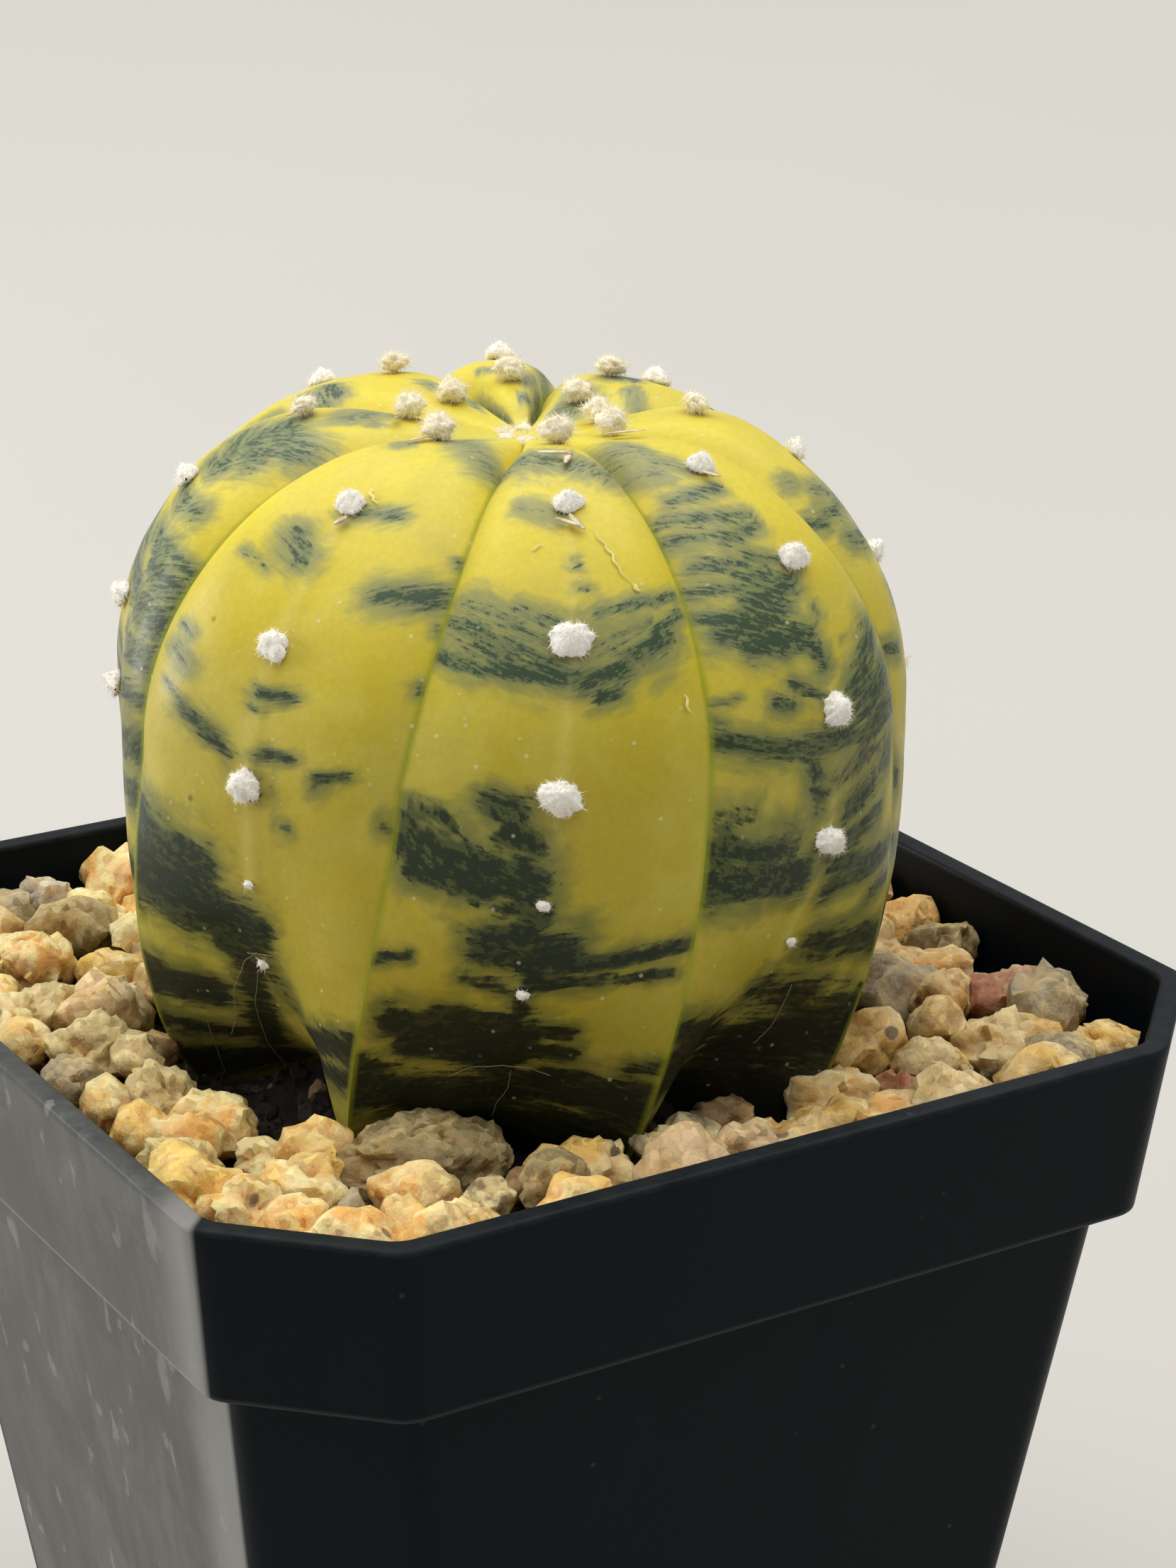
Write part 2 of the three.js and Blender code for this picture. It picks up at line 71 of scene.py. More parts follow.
# Pot: the rim's size is read off the frame, the rest is the mould's
POT_LOW, POT_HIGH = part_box("pot")
POT_WIDTH = round((POT_HIGH.x - POT_LOW.x) / MM, 2)
POT_HEIGHT = round(POT_HIGH.z / MM, 2)
CORNER_CUT, BAND_FOOT_CUT, BODY_CUT = 9.2, 8.8, 8.0
CORNER_ROUND = 2.6
BAND_HEIGHT, BAND_TAPER = 12.3, 1.5
LEDGE, LEDGE_FALL = 2.1, 0.7
BODY_SLOPE = 0.137
RIM_WALL, BODY_WALL, FLOOR_THICKNESS = 1.65, 1.3, 1.8
BAND_BOTTOM = POT_HEIGHT - BAND_HEIGHT
BODY_TOP_INSET = BAND_TAPER + LEDGE
DRILL_SIDES, DRILL_SPARE = 40, 1.0
DRAINS = [(0, 0, 9)] + [(x, y, 6) for x in (-14.142, 14.142) for y in (-14.142, 14.142)]

# Stem: eight ribs round a leaning axis
RIBS = 8
STEM_X, STEM_Y, STEM_MIDDLE = 0.5, 0.9, 94.8
STEM_RADIUS, STEM_UP, STEM_DOWN = 27.3, 21.6, 31.7
UP_POWER, DOWN_POWER = 2.03, 2.51
LEAN_X, LEAN_Y = 0.065, 0.124
CROWN_DIP, CROWN_DIP_RADIUS = 5.3, 11.6
CROWN_SHIFT_X, CROWN_SHIFT_Y = 0.4, -3.3
OVAL_TWO, OVAL_TWO_SINE, OVAL_THREE = -0.05, -0.013, -0.022
GROOVE_AT_CROWN, GROOVE_AT_MIDDLE, GROOVE_AT_FOOT = 2.6, 0.8, -2.6
GROOVE_POWER = 4.2
FRONT_RIB = -115
GROOVE_TURN = np.array([0.5, -3, -4, 1, -5, 0.5, -1, 3.5])
GROOVE_TURN_FOOT = np.array([-12, -21, 0, 2, -3, -5, -20, -18])
GROOVE_TURN_CROWN = np.array([4, -7, -8, 3, -11, -8, 10, 17])
RIB_TURN_FOOT = np.array([0, -8, 3, 0, 0, 0, -5, 12])
RIB_SWELL = np.array([0.8, -0.7, 0, 0.4, 1.2, 0.1, -1.5, -1])
RIB_HOLLOW_FOOT = np.array([2.6, 4, 1.5, 0.5, -0.5, 0.5, 2.2, 4.8])
ROOT_X, ROOT_Y, ROOT_TIP = -1.5, -3.0, 31.5
ROOT_RINGS = [(14, 63), (8, 62), (6.4, 54), (4.6, 44), (2.6, 34)]

# The stem's skin: first and last angle and count of its rings, and its points across one rib
SKIN_ANGLES = [(3, 30, 40), (30.6, 126, 130), (126.8, 150, 24)]
SKIN_ACROSS = 48

# Woolly tufts of each rib, from the front rib round to its right: angle, across, diameter
TUFTS = [
    [(17, 0.3, 3.2), (42, 0, 2.4), (65, 0, 2.7), (88, 0, 3), (97, 0, 0.9), (107, 0, 0.9)],
    [(16, 0.3, 3.2), (36, 0, 2.5), (56.5, 0.15, 2.5), (82, 0, 2.8), (96, 0.05, 2.7), (106.5, 0.05, 0.8)],
    [(11, 0.3, 3), (27, 0, 2.8), (47, 0.1, 2.5), (69, 0, 2.5), (90, 0, 2.6)],
    [(13, 0, 3), (27, 0.2, 3), (38, 0, 2.6), (57, 0, 2.5), (77, 0, 2.6), (94, 0, 2)],
    [(18, 0, 3), (33, 0, 2.5), (52, 0, 2.5), (72, 0, 2.7), (91, 0, 2.4)],
    [(13, 0, 3), (28, -0.3, 2.9), (40, 0, 2.6), (58, 0, 2.5), (78, 0, 2.6), (95, 0, 1.8)],
    [(14, -0.3, 3.2), (29, -0.25, 2.8), (52, -0.3, 2.5), (77, -0.35, 2.6), (91, -0.35, 2.6)],
    [(17, -0.3, 3.2), (43, 0, 2.5), (69, 0, 2.6), (91, 0, 2.8), (100, 0, 0.8), (111, 0, 0.9)],
]
# Tufts above YOUNG_ANGLE are loose young wool, those above INNER_ANGLE the highest of all
YOUNG_ANGLE, INNER_ANGLE = 31, 22

# Green strokes of the seen ribs: across and angle of both ends, half thickness in mm, strength. Under
# about 0.6 a stroke stays a grey-green veil below the skin, above it the dark green comes through.
STROKES = {
    0: [
        (-0.9, 27, 0, 29, 2.6, 0.72), (0, 29.5, 0.7, 33, 2.1, 0.72), (-0.5, 41.5, -0.1, 44, 0.8, 0.6),
        (0.03, 53, 0.05, 53, 0.5, 0.9), (0.05, 57, 0.15, 57, 0.35, 0.9),
        (-1, 60.5, -0.6, 63.5, 0.7, 0.95), (-0.85, 58.5, -0.2, 65, 1.1, 0.75),
        (-0.8, 63, -0.15, 68.5, 2, 0.85), (-1, 66.5, -0.6, 69.5, 0.8, 1.1),
        (-0.55, 69, -0.05, 70.5, 0.9, 1.3), (-0.4, 60.5, -0.08, 63, 0.8, 0.8),
        (0.2, 61, 0.9, 58, 0.6, 1), (0.35, 64.5, 0.6, 62.5, 0.5, 0.9), (0.4, 67.5, 0.9, 61, 0.75, 1),
        (0.38, 68, 0.75, 65, 1, 1), (0.2, 65, 0.6, 66, 2.5, 0.5), (0.12, 71.3, 0.36, 69.6, 1, 1.3),
        (0.2, 73.4, 0.32, 73, 0.8, 1.2), (0.1, 73.5, 0.1, 73.5, 0.4, 1),
        (-0.42, 88.5, -0.22, 90, 0.9, 1.1), (-0.3, 91.3, -0.1, 92, 0.7, 1.1),
        (-0.92, 90.2, -0.6, 91, 0.35, 1), (-1, 92.4, -0.05, 95.3, 1, 1.3),
        (-0.85, 94.2, -0.35, 95.6, 0.9, 1.25), (-0.05, 95, 0, 99, 0.6, 1),
        (-0.22, 97.4, 0.06, 97.8, 0.7, 1), (-0.3, 101, 0.2, 102, 1.3, 1.2),
        (-0.08, 99, 0.05, 104.5, 1, 1.2), (0.2, 103.9, 1, 102.6, 0.5, 1.15),
        (0, 106, 0.45, 105.6, 0.5, 1), (0.45, 105.7, 0.9, 105.6, 0.35, 1),
        (-1, 104.3, -0.75, 103.5, 0.35, 1), (-0.4, 105, -0.1, 106.5, 0.5, 0.85),
        (0, 107, 0, 112, 0.7, 1.1), (-0.78, 112.2, 0.1, 113, 1.3, 1.2),
        (-0.55, 110.3, 0, 110.8, 0.6, 1.1), (-0.65, 115.6, 0.1, 116, 1.2, 1.2),
        (-0.4, 113, -0.05, 117, 2, 1.3), (0.1, 112, 0.36, 113, 0.6, 1),
        (0.1, 115.5, 0.42, 116.3, 0.7, 1), (-0.05, 117, 0, 121, 0.8, 1.1),
        (-1, 122, -0.5, 125, 2.2, 1.1), (-1, 118, -0.85, 119, 0.7, 0.9),
        (-0.5, 125.5, 0.1, 124, 2.4, 1.1), (0, 122, 0.4, 121, 1.4, 1), (0.3, 122, 0.9, 124.5, 1.8, 1.2),
        (0.75, 121, 1, 121.5, 0.6, 0.9), (0.8, 118.5, 1, 118, 0.6, 0.9), (-0.3, 131, 0.9, 131, 2.6, 1),
        (-0.6, 138, 0.9, 138, 3.6, 1.1),
    ],
    1: [
        (-0.95, 25, -0.5, 27, 3, 0.6), (-0.5, 31, -0.25, 34, 1.4, 0.62), (-0.9, 32, -0.6, 35, 1.2, 0.55),
        (-0.75, 41.5, -0.05, 41, 0.8, 0.9), (-1, 44, -0.4, 46, 0.8, 0.8),
        (-0.7, 45.5, 0.05, 47.5, 0.8, 0.95), (-1, 48, -0.3, 50, 0.9, 0.85),
        (-0.5, 50.5, 0.05, 49, 0.8, 0.9), (-0.85, 53.5, -0.4, 55, 0.8, 0.95),
        (-0.3, 54, -0.05, 56, 0.9, 0.95), (-1, 57.5, -0.3, 59, 0.8, 0.9), (-0.5, 57, -0.08, 59, 1.2, 1),
        (-1, 62, -0.6, 63.5, 0.7, 1.15), (-0.8, 65.5, -0.2, 63, 1.4, 1.15),
        (-0.6, 68, -0.1, 69, 1.5, 1.25), (-0.5, 62, -0.05, 60, 1.5, 1.15), (-0.06, 71, 0, 74, 0.9, 1.2),
        (0.13, 65.5, 0.13, 65.6, 0.6, 1), (0.28, 71.5, 0.28, 71.6, 0.3, 0.9),
        (-0.35, 75.5, -0.1, 79, 0.6, 1), (-0.5, 78, -0.42, 79, 0.8, 1), (-1, 76.3, -0.8, 76, 0.3, 0.8),
        (-1, 78.5, -0.9, 80, 0.4, 0.7), (0.3, 80, 0.65, 73, 1.7, 1), (0.35, 84, 0.7, 80, 2.1, 1),
        (0.4, 87.5, 0.7, 86, 1.7, 1), (-1, 82, -0.7, 84, 0.9, 1.2), (-0.7, 84.3, -0.1, 87, 1.1, 1),
        (-0.1, 86.3, 0.3, 88, 1.2, 1), (-0.35, 86, -0.12, 92, 0.9, 1), (-0.95, 91.5, -0.7, 92, 0.4, 0.9),
        (-1, 94, -0.3, 95.5, 0.9, 1.05), (-1, 97, -0.1, 98.5, 1.1, 1.15), (0.2, 94, 0.7, 91, 0.8, 0.9),
        (0.1, 97, 0.6, 95.5, 0.8, 0.85), (0.2, 99, 1, 100, 0.7, 0.9), (0.2, 101.7, 0.9, 100.3, 0.7, 0.8),
        (0, 91, 0.5, 90.5, 0.6, 0.8), (0.7, 104, 1, 103, 0.7, 0.8), (0.3, 108, 1, 110, 1.1, 0.9),
        (-1, 113, -0.5, 116, 1.2, 1.05), (-1, 119, -0.3, 120, 2.6, 1.15),
        (0, 113.5, 0.5, 115.5, 1.4, 0.8), (0.2, 124, 0.9, 122, 3.6, 1.1), (0.2, 135, 0.9, 134, 4.6, 1.2),
        (-0.1, 130, 0.1, 136, 1.5, 1.2), (-1, 128, -0.4, 131, 1.5, 0.9),
    ],
    2: [
        (-0.8, 46.5, -0.75, 46.7, 0.9, 0.65), (-0.97, 53, -0.84, 55, 0.8, 1),
        (-0.6, 50.5, -0.2, 53.5, 1, 0.8), (-0.8, 54, -0.1, 56.5, 1.1, 0.8),
        (-0.7, 60, -0.2, 63, 1.2, 0.85), (-0.95, 79, -0.8, 80, 0.9, 0.9), (-1, 94, -0.93, 95, 0.8, 0.95),
        (-1, 101, -0.86, 101.5, 0.7, 0.95), (-0.5, 88, 0.1, 91, 0.9, 0.9),
        (-0.6, 96, 0.2, 98.5, 0.8, 0.95), (-0.9, 109, 0, 112, 1.4, 1.05), (-1, 121, 0.2, 123, 2.4, 1.1),
    ],
    3: [(-0.45, 9, 0.3, 10, 1.4, 0.7), (-0.25, 14, 0.35, 17, 1.6, 0.7), (-0.9, 22, -0.4, 24, 0.8, 0.6)],
    4: [
        (-0.95, 6, -0.9, 20, 1.4, 1.1), (-0.8, 14, -0.2, 12.5, 0.8, 0.9),
        (-0.7, 22, -0.45, 20, 1.4, 0.7), (0.1, 22, 0.6, 25, 0.6, 0.6), (-1, 26, -0.75, 34, 1.8, 0.9),
        (0.85, 8, 0.95, 18, 0.9, 0.9),
    ],
    5: [
        (-0.7, 14, -0.3, 10.5, 0.6, 0.75), (-0.4, 16, -0.25, 19, 1, 0.62), (0.9, 40, 0.97, 55, 0.9, 0.9),
    ],
    6: [
        (-0.3, 20, 0.2, 24, 1.9, 0.62), (0, 19.8, 0.45, 20.2, 0.6, 0.6), (-0.1, 33, 0.75, 34, 2.3, 0.95),
        (-0.3, 40, 0.1, 44, 2.4, 0.95), (-0.1, 38, 0.55, 40, 2.2, 0.95),
        (-0.25, 46.5, 0.3, 44.5, 1.3, 0.9), (-0.2, 54, 0.65, 52.5, 1, 0.85),
        (-0.1, 56, 0.1, 55.5, 0.7, 0.8), (-0.2, 62, 0.6, 60.5, 1.3, 0.95), (0.6, 60, 1, 62, 0.9, 1),
        (0.3, 64, 1, 66, 2.2, 1.05), (-0.2, 71, 1, 72, 2.3, 1.05), (0.2, 79, 1, 79, 1.8, 1.05),
        (0.4, 86, 1, 86, 1.2, 1), (0.2, 92, 1, 91.5, 0.9, 1.05), (0.3, 96, 1, 95.5, 0.8, 1),
        (0.6, 104, 1, 104, 0.9, 1.15), (-0.8, 113, -0.2, 114, 3, 1.15), (-0.3, 116, 0.8, 113, 1.6, 1.1),
        (-0.7, 119.5, -0.2, 121, 1.6, 1.15), (-0.9, 100, 0, 104, 0.9, 0.9), (0, 122, 0.9, 124, 1.6, 1),
        (-0.4, 84, 0.1, 88, 0.9, 0.95),
    ],
    7: [
        (-0.2, 12, 0.4, 19, 2.1, 0.66), (0.4, 19, 0.85, 25, 2.4, 0.66), (-0.5, 22, -0.3, 24, 0.9, 0.6),
        (0.02, 44, 0.42, 43.8, 0.7, 0.95), (-0.28, 50, -0.12, 54, 1.2, 0.9),
        (-0.6, 55, -0.3, 57, 0.4, 0.75), (0.58, 58.5, 0.98, 57, 1.2, 1.15),
        (0.97, 50, 0.98, 51, 0.4, 0.9), (0.96, 62, 0.98, 63, 0.4, 0.9), (0.97, 72, 0.98, 73, 0.5, 0.9),
        (-0.78, 70, -0.65, 71, 0.5, 0.7), (-0.76, 74, -0.6, 76, 0.8, 0.7),
        (0, 77.3, 0.22, 76.8, 0.6, 1.15), (-0.03, 76, 0, 77.5, 0.35, 1),
        (-0.05, 79.8, 0.03, 79.8, 0.35, 0.9), (-0.76, 79.8, -0.55, 82.5, 0.4, 0.85),
        (-0.56, 83, -0.3, 86.5, 0.8, 1.05), (-0.28, 86.5, -0.15, 89, 0.6, 1.05),
        (0.08, 88, 0.15, 87, 0.6, 1), (0.15, 87, 0.32, 86.7, 0.45, 1), (0.5, 89, 0.68, 88, 0.5, 1.05),
        (0.05, 91, 0.2, 90.7, 0.25, 0.9), (0.22, 93.5, 0.34, 93.5, 0.3, 0.95),
        (0.93, 92, 1, 92.2, 0.3, 0.9), (-1, 101.5, -0.5, 103, 3, 1.25),
        (-0.9, 97.3, -0.35, 99.6, 1.3, 1.2), (-0.5, 104, -0.03, 106.3, 1.9, 1.3),
        (-0.3, 109, -0.06, 112, 0.9, 1.15), (-1, 118, -0.5, 119, 1.7, 1.15),
        (-1, 126, -0.4, 128, 1.2, 0.75), (-0.1, 112, -0.3, 130, 1.4, 0.95),
        (0.05, 112, 0.2, 118, 1, 0.5), (0.35, 122.5, 0.7, 118.5, 1.3, 1.1),
        (0.7, 118.5, 1, 116.2, 1.2, 1.15), (0.6, 124, 1, 121, 1.2, 0.85), (-1, 134, -0.3, 136, 2, 1),
    ],
}

# The unseen sides carry clusters of strokes drawn by rule: rib, across, angle, width, strokes
CLUSTERS = [
    (2, 0.4, 60, 0.5, 6), (2, 0.6, 84, 0.4, 5), (2, 0.1, 104, 0.6, 6), (2, -0.3, 74, 0.3, 3),
    (3, -0.5, 46, 0.5, 6), (3, 0.5, 66, 0.5, 6), (3, -0.2, 86, 0.4, 5), (3, 0.2, 110, 0.8, 9),
    (3, 0, 30, 0.3, 3), (4, 0.5, 44, 0.4, 5), (4, -0.4, 62, 0.6, 7), (4, 0.4, 84, 0.5, 5),
    (4, -0.2, 104, 0.7, 8), (4, 0.3, 120, 0.9, 9), (5, -0.5, 62, 0.4, 5), (5, 0.5, 82, 0.5, 5),
    (5, -0.3, 98, 0.5, 6), (5, 0, 116, 0.9, 9), (5, 0.6, 32, 0.3, 3), (6, -0.6, 66, 0.5, 6),
    (6, -0.6, 90, 0.4, 5), (3, 0, 126, 1, 8), (2, 0, 130, 1, 7), (5, 0, 128, 1, 7),
]

# Grit: the stones that show most, with what each is made of, then the rule for the rest
PLACED_STONES = [
    (-20, 32, 74.2, 5, 4.2, 6, -50, "lilac"), (-18, 29, 73, 5, 4.2, 4.4, -20, "cream"),
    (-17.5, 26, 72.2, 4, 3.4, 3.6, 30, "cream"), (-25.5, 21.5, 73.4, 7, 6.2, 5, -50, "rusty"),
    (-21.5, 17.5, 72.8, 5, 4, 4.6, -40, "golden"), (-28.5, 13, 73.4, 5, 4.2, 4, -20, "clear"),
    (-31, 17, 73.2, 4, 3.4, 3.6, 20, "orange"), (-22.5, 13, 72.2, 3.6, 3.2, 4, -10, "pink"),
    (-24, 5, 72.2, 3.6, 3, 3.6, -50, "brown"), (-28.5, 6, 73.6, 6.4, 5.4, 4.6, -10, "clear"),
    (-32, 9, 73.3, 4, 3.6, 3.6, 0, "cream"), (-31.5, 1.5, 73, 4.6, 4, 3.6, -20, "grey"),
    (-31.5, -3, 73.1, 3.6, 3.4, 3.6, 10, "cream"), (-27, -2, 72.8, 6.2, 5, 4.2, -30, "clear"),
    (-31.5, -8, 73.2, 4, 3.4, 3.6, -60, "orange"), (-26, -8, 72.8, 6.2, 5, 4.8, -50, "rusty"),
    (-31.5, -14, 73.8, 5.4, 4.8, 5, -60, "clear"), (-31, -22, 73.6, 5.2, 4.8, 4.2, 0, "rusty"),
    (-25, -13.5, 72, 4.8, 3.8, 3.6, -30, "cream"), (-26, -20.5, 73.4, 6.2, 5.4, 4.8, -10, "cream"),
    (-25.5, -25.5, 73.4, 3.2, 2.6, 4, 50, "grey"), (-23, -28, 73.6, 3.4, 3, 4.4, -50, "orange"),
    (-17.8, -19.4, 73.6, 11.4, 7, 5.8, -20, "pale"), (-20, -30.5, 73.8, 4.4, 3.8, 4.4, -40, "cream"),
    (-17, -27.5, 73, 3.6, 3, 3.6, 0, "specked"), (-13.5, -25.5, 72, 3.2, 2.8, 3.4, -20, "brown"),
    (-9, -26.5, 72.8, 6.2, 5, 4.4, -40, "golden"), (-2.5, -27, 72.8, 6.2, 4.8, 4.4, -20, "specked"),
    (2.5, -23.5, 72, 4.8, 4, 4.2, -20, "brown"), (4, -29, 72.4, 4.4, 3.8, 3.6, -50, "cream"),
    (10.5, -24.5, 73, 7, 5.6, 5.6, -30, "cream"), (15, -27, 72.2, 3.8, 3.2, 3.8, -60, "red"),
    (18, -30, 72.4, 5, 4, 3.8, -20, "golden"), (20, -23, 72.4, 6, 4.6, 4.4, -60, "cream"),
    (20.5, -16.5, 71.6, 4, 3.6, 4, -10, "grey"), (28, -11, 73.2, 6.2, 5.2, 5.4, 0, "rusty"),
    (32.5, -7.5, 73, 5.4, 4.4, 4.6, 0, "pale"), (31, -17.5, 73, 6.4, 5.8, 5, -20, "red"),
    (26, -23.5, 73.2, 7.2, 6.2, 5.4, -50, "cream"), (30.5, -28, 72.6, 6.8, 5.6, 4.2, -20, "golden"),
]
SCATTER_SEED, SCATTER_TRIES = 11, 2600
SCATTER_LARGEST, SCATTER_SMALLEST, SCATTER_CLOSEST = 6.6, 4.0, 0.7
STONE_CUTS, STONE_RISE, STONE_SHARPNESS = 11, 1.2, 30.0
GRIT_MIDDLE, GRIT_ALONG_X, GRIT_ALONG_Y = 71.3, -0.012, -0.01
STEM_FOOT_RADIUS = 24
BED_BELOW, BED_LOW, BED_EDGE = 3.4, 61.4, 65.0
BED_ACROSS, BED_RINGS = 32, 29
SOCKET_ANGLES, SOCKET_RADIUS, SOCKET_DISH = (150, 147, 144, 141), 14.6, 0.9
# Painted light over the grit: each stone's colours are scaled by where it lies, lighter to the left and back,
# darker to the right
PAINTED_LIGHT_ALONG_X, PAINTED_LIGHT_ALONG_Y = -0.0052, 0.002
WALL_GAP, STEM_GAP = 0.35, 0.5

# Stone colours, linear: the body, and the stain or clear part that runs through it
STONE_KINDS = {
    "cream": ((0.97, 0.75, 0.38), (0.92, 0.56, 0.16)),
    "golden": ((0.93, 0.58, 0.15), (0.96, 0.74, 0.38)),
    "rusty": ((0.96, 0.70, 0.32), (0.88, 0.42, 0.08)),
    "orange": ((0.92, 0.53, 0.14), (0.94, 0.70, 0.32)),
    "red": ((0.48, 0.18, 0.09), (0.74, 0.52, 0.33)),
    "pink": ((0.86, 0.62, 0.34), (0.80, 0.52, 0.22)),
    "lilac": ((0.56, 0.48, 0.38), (0.76, 0.62, 0.42)),
    "grey": ((0.40, 0.33, 0.20), (0.66, 0.50, 0.25)),
    "clear": ((0.66, 0.52, 0.25), (0.94, 0.70, 0.32)),
    "pale": ((0.38, 0.295, 0.135), (0.54, 0.41, 0.17)),
    "brown": ((0.32, 0.19, 0.08), (0.58, 0.37, 0.14)),
    "specked": ((0.86, 0.70, 0.35), (0.13, 0.12, 0.09)),
}
SCATTER_KINDS = ["cream", "golden", "rusty", "cream", "clear", "orange", "pale", "golden", "grey", "pink",
                 "rusty"]

# Dry scraps by the tufts: rib, across, angle, length in mm, bearing on the skin in degrees (0 down, 90 right)
SCRAPS = [
    (0, -0.25, 28, 2.2, -70), (0, 0.18, 29, 1.8, 20), (7, -0.22, 20, 1.7, 15), (1, -0.3, 19, 2.6, -60),
    (0, 0.02, 45, 1.6, -20), (0, -0.1, 45.5, 1.7, -60), (7, 0.05, 46, 1.0, 20), (6, 0.1, 16, 2.4, -80),
    (4, 0.1, 20, 1.8, 80), (5, 0.1, 12, 2.4, 60), (1, -0.12, 38, 1.2, -30), (3, 0.1, 16, 1.6, 10),
    (2, 0.15, 13, 1.6, 40), (6, -0.2, 31, 1.2, -70),
]
# Healed scratches: points as (rib, across, angle), and the width in mm
SCRATCHES = [
    ([(0, 0.22, 47), (0, 0.3, 49.5), (0, 0.36, 51.5), (0, 0.4, 54), (0, 0.5, 56.5)], 0.17),
    ([(0, 0.5, 56.5), (0, 0.55, 57.6)], 0.3),
    ([(7, 0.05, 39), (7, 0.1, 40.5), (7, 0.2, 42)], 0.18),
    ([(0, -0.35, 50.5), (0, -0.25, 49.5)], 0.16),
    ([(0, 0.8, 74), (0, 0.84, 77)], 0.2),
]
# Fine threads that cling to the lower skin: points as (rib, across, angle)
THREADS = [
    [(7, -0.02, 109), (7, -0.14, 111), (7, -0.3, 117), (7, -0.38, 123), (7, -0.5, 128)],
    [(7, -0.05, 112), (7, -0.2, 120), (7, -0.32, 130), (7, -0.4, 139), (7, -0.52, 143)],
    [(7, -0.6, 125), (7, -0.66, 131), (7, -0.75, 137), (7, -0.9, 140)],
    [(7, -0.1, 109.5), (7, 0.1, 108.8), (7, 0.13, 108.6)],
    [(0, -0.35, 120.5), (0, -0.2, 118.4), (0, 0, 118), (0, 0.18, 118.3), (0, 0.32, 119.6)],
    [(0, 0.06, 119), (0, 0.08, 123), (0, 0.04, 127), (0, 0.05, 131)],
    [(1, 0.28, 113), (1, 0.33, 117), (1, 0.36, 120), (1, 0.34, 123)],
    [(1, -0.3, 100.5), (1, 0, 100.8), (1, 0.15, 102)],
]

# Camera, as the photo was taken: place in mm, directions, focal length in the photo's pixels
PHOTO_WIDTH, PHOTO_HEIGHT = 1659, 2212
CAMERA_PLACE = (-118.156, -203.993, 170.917)
CAMERA_RIGHT = (0.85287, -0.52212, 0.00302)
CAMERA_DOWN = (-0.17286, -0.28780, -0.94196)
CAMERA_FORWARD = (0.49268, 0.80285, -0.33571)
FOCAL_PIXELS = 5185.24
SENSOR_WIDTH = 36.0

# Light: a wide soft sun overhead, a window at the back left, and the room's own dim light
LAMP_COLOUR, ROOM_COLOUR = (1.0, 0.985, 0.95), (0.96, 0.975, 1.0)
SUN_STRENGTH, SUN_SPREAD, SUN_WAY = 3.1, 85, (-0.03, -0.13, -1)
WINDOW_PLACE, WINDOW_WATTS = (-560, 640, 220), 3.9
WINDOW_WIDTH, WINDOW_HEIGHT = 420, 380
ROOM_STRENGTH = 0.36
FLOOR_REACH = 4000.0


def draws_from(seed):
    """A repeatable stream of draws between 0 and 1, the same as the part's own."""
    mask = 0xFFFFFFFF
    state = seed & mask
    while True:
        state = (state + 0x6D2B79F5) & mask
        mixed = ((state ^ (state >> 15)) * (state | 1)) & mask
        mixed ^= (mixed + (((mixed ^ (mixed >> 7)) * (mixed | 61)) & mask)) & mask
        yield ((mixed ^ (mixed >> 14)) & mask) / 4294967296


def smoothstep(x, low, high):
    t = np.clip((x - low) / (high - low), 0, 1)
    return t * t * (3 - 2 * t)


def field_noise(points, scale, seed=0.0):
    """Smooth noise from about -1 to 1 at each point, its bumps about 1 / scale apart."""
    shift = Vector((seed * 7.3, seed * 3.1, seed * 5.7))
    return np.array([noise.noise(Vector(p) * scale + shift) for p in points])


def new_object(name, data):
    thing = bpy.data.objects.new(name, data)
    bpy.context.scene.collection.objects.link(thing)
    return thing


def mesh_object(name, points, faces, attributes=None, smooth_angle=None):
    """A mesh from points in mm. Attributes are per point: floats, or rows of 3 (vector) or 4 (colour)."""
    mesh = bpy.data.meshes.new(name)
    mesh.from_pydata((np.asarray(points, float) * MM).tolist(), [], faces)
    for key, values in (attributes or {}).items():
        values = np.asarray(values, np.float32)
        kind = {1: "FLOAT", 3: "FLOAT_VECTOR", 4: "FLOAT_COLOR"}[1 if values.ndim == 1 else values.shape[1]]
        layer = mesh.attributes.new(key, kind, "POINT")
        layer.data.foreach_set({"FLOAT": "value", "FLOAT_VECTOR": "vector", "FLOAT_COLOR": "color"}[kind],
                               values.ravel())
    mesh.shade_smooth()
    if smooth_angle is not None:
        mesh.set_sharp_from_angle(angle=math.radians(smooth_angle))
    mesh.update()
    return new_object(name, mesh)


def ring_faces(rings, sides, loop=False):
    """Quads between rings of points that follow each other, the first ring lowest."""
    faces = []
    for ring in range(rings if loop else rings - 1):
        low, high = ring * sides, ((ring + 1) % rings) * sides
        for side in range(sides):
            after = (side + 1) % sides
            faces.append((low + side, low + after, high + after, high + side))
    return faces


def capped_faces(rings, sides):
    """Quads between rings, with a fan to one point below the first ring and one above the last."""
    faces = ring_faces(rings, sides)
    bottom, top, last = rings * sides, rings * sides + 1, (rings - 1) * sides
    for side in range(sides):
        after = (side + 1) % sides
        faces.append((bottom, after, side))
        faces.append((top, last + side, last + after))
    return faces


def settle(thing, slot, *nodes):
    """The finished piece rides with the pot and stands for its nodes; its slot is not used."""
    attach(thing, "root")
    if nodes:
        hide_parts(*nodes)


def plain_mesh(thing):
    """Bakes the live modifiers of a piece into its mesh."""
    evaluated = thing.evaluated_get(bpy.context.evaluated_depsgraph_get())
    mesh = bpy.data.meshes.new_from_object(evaluated)
    thing.modifiers.clear()
    thing.data = mesh


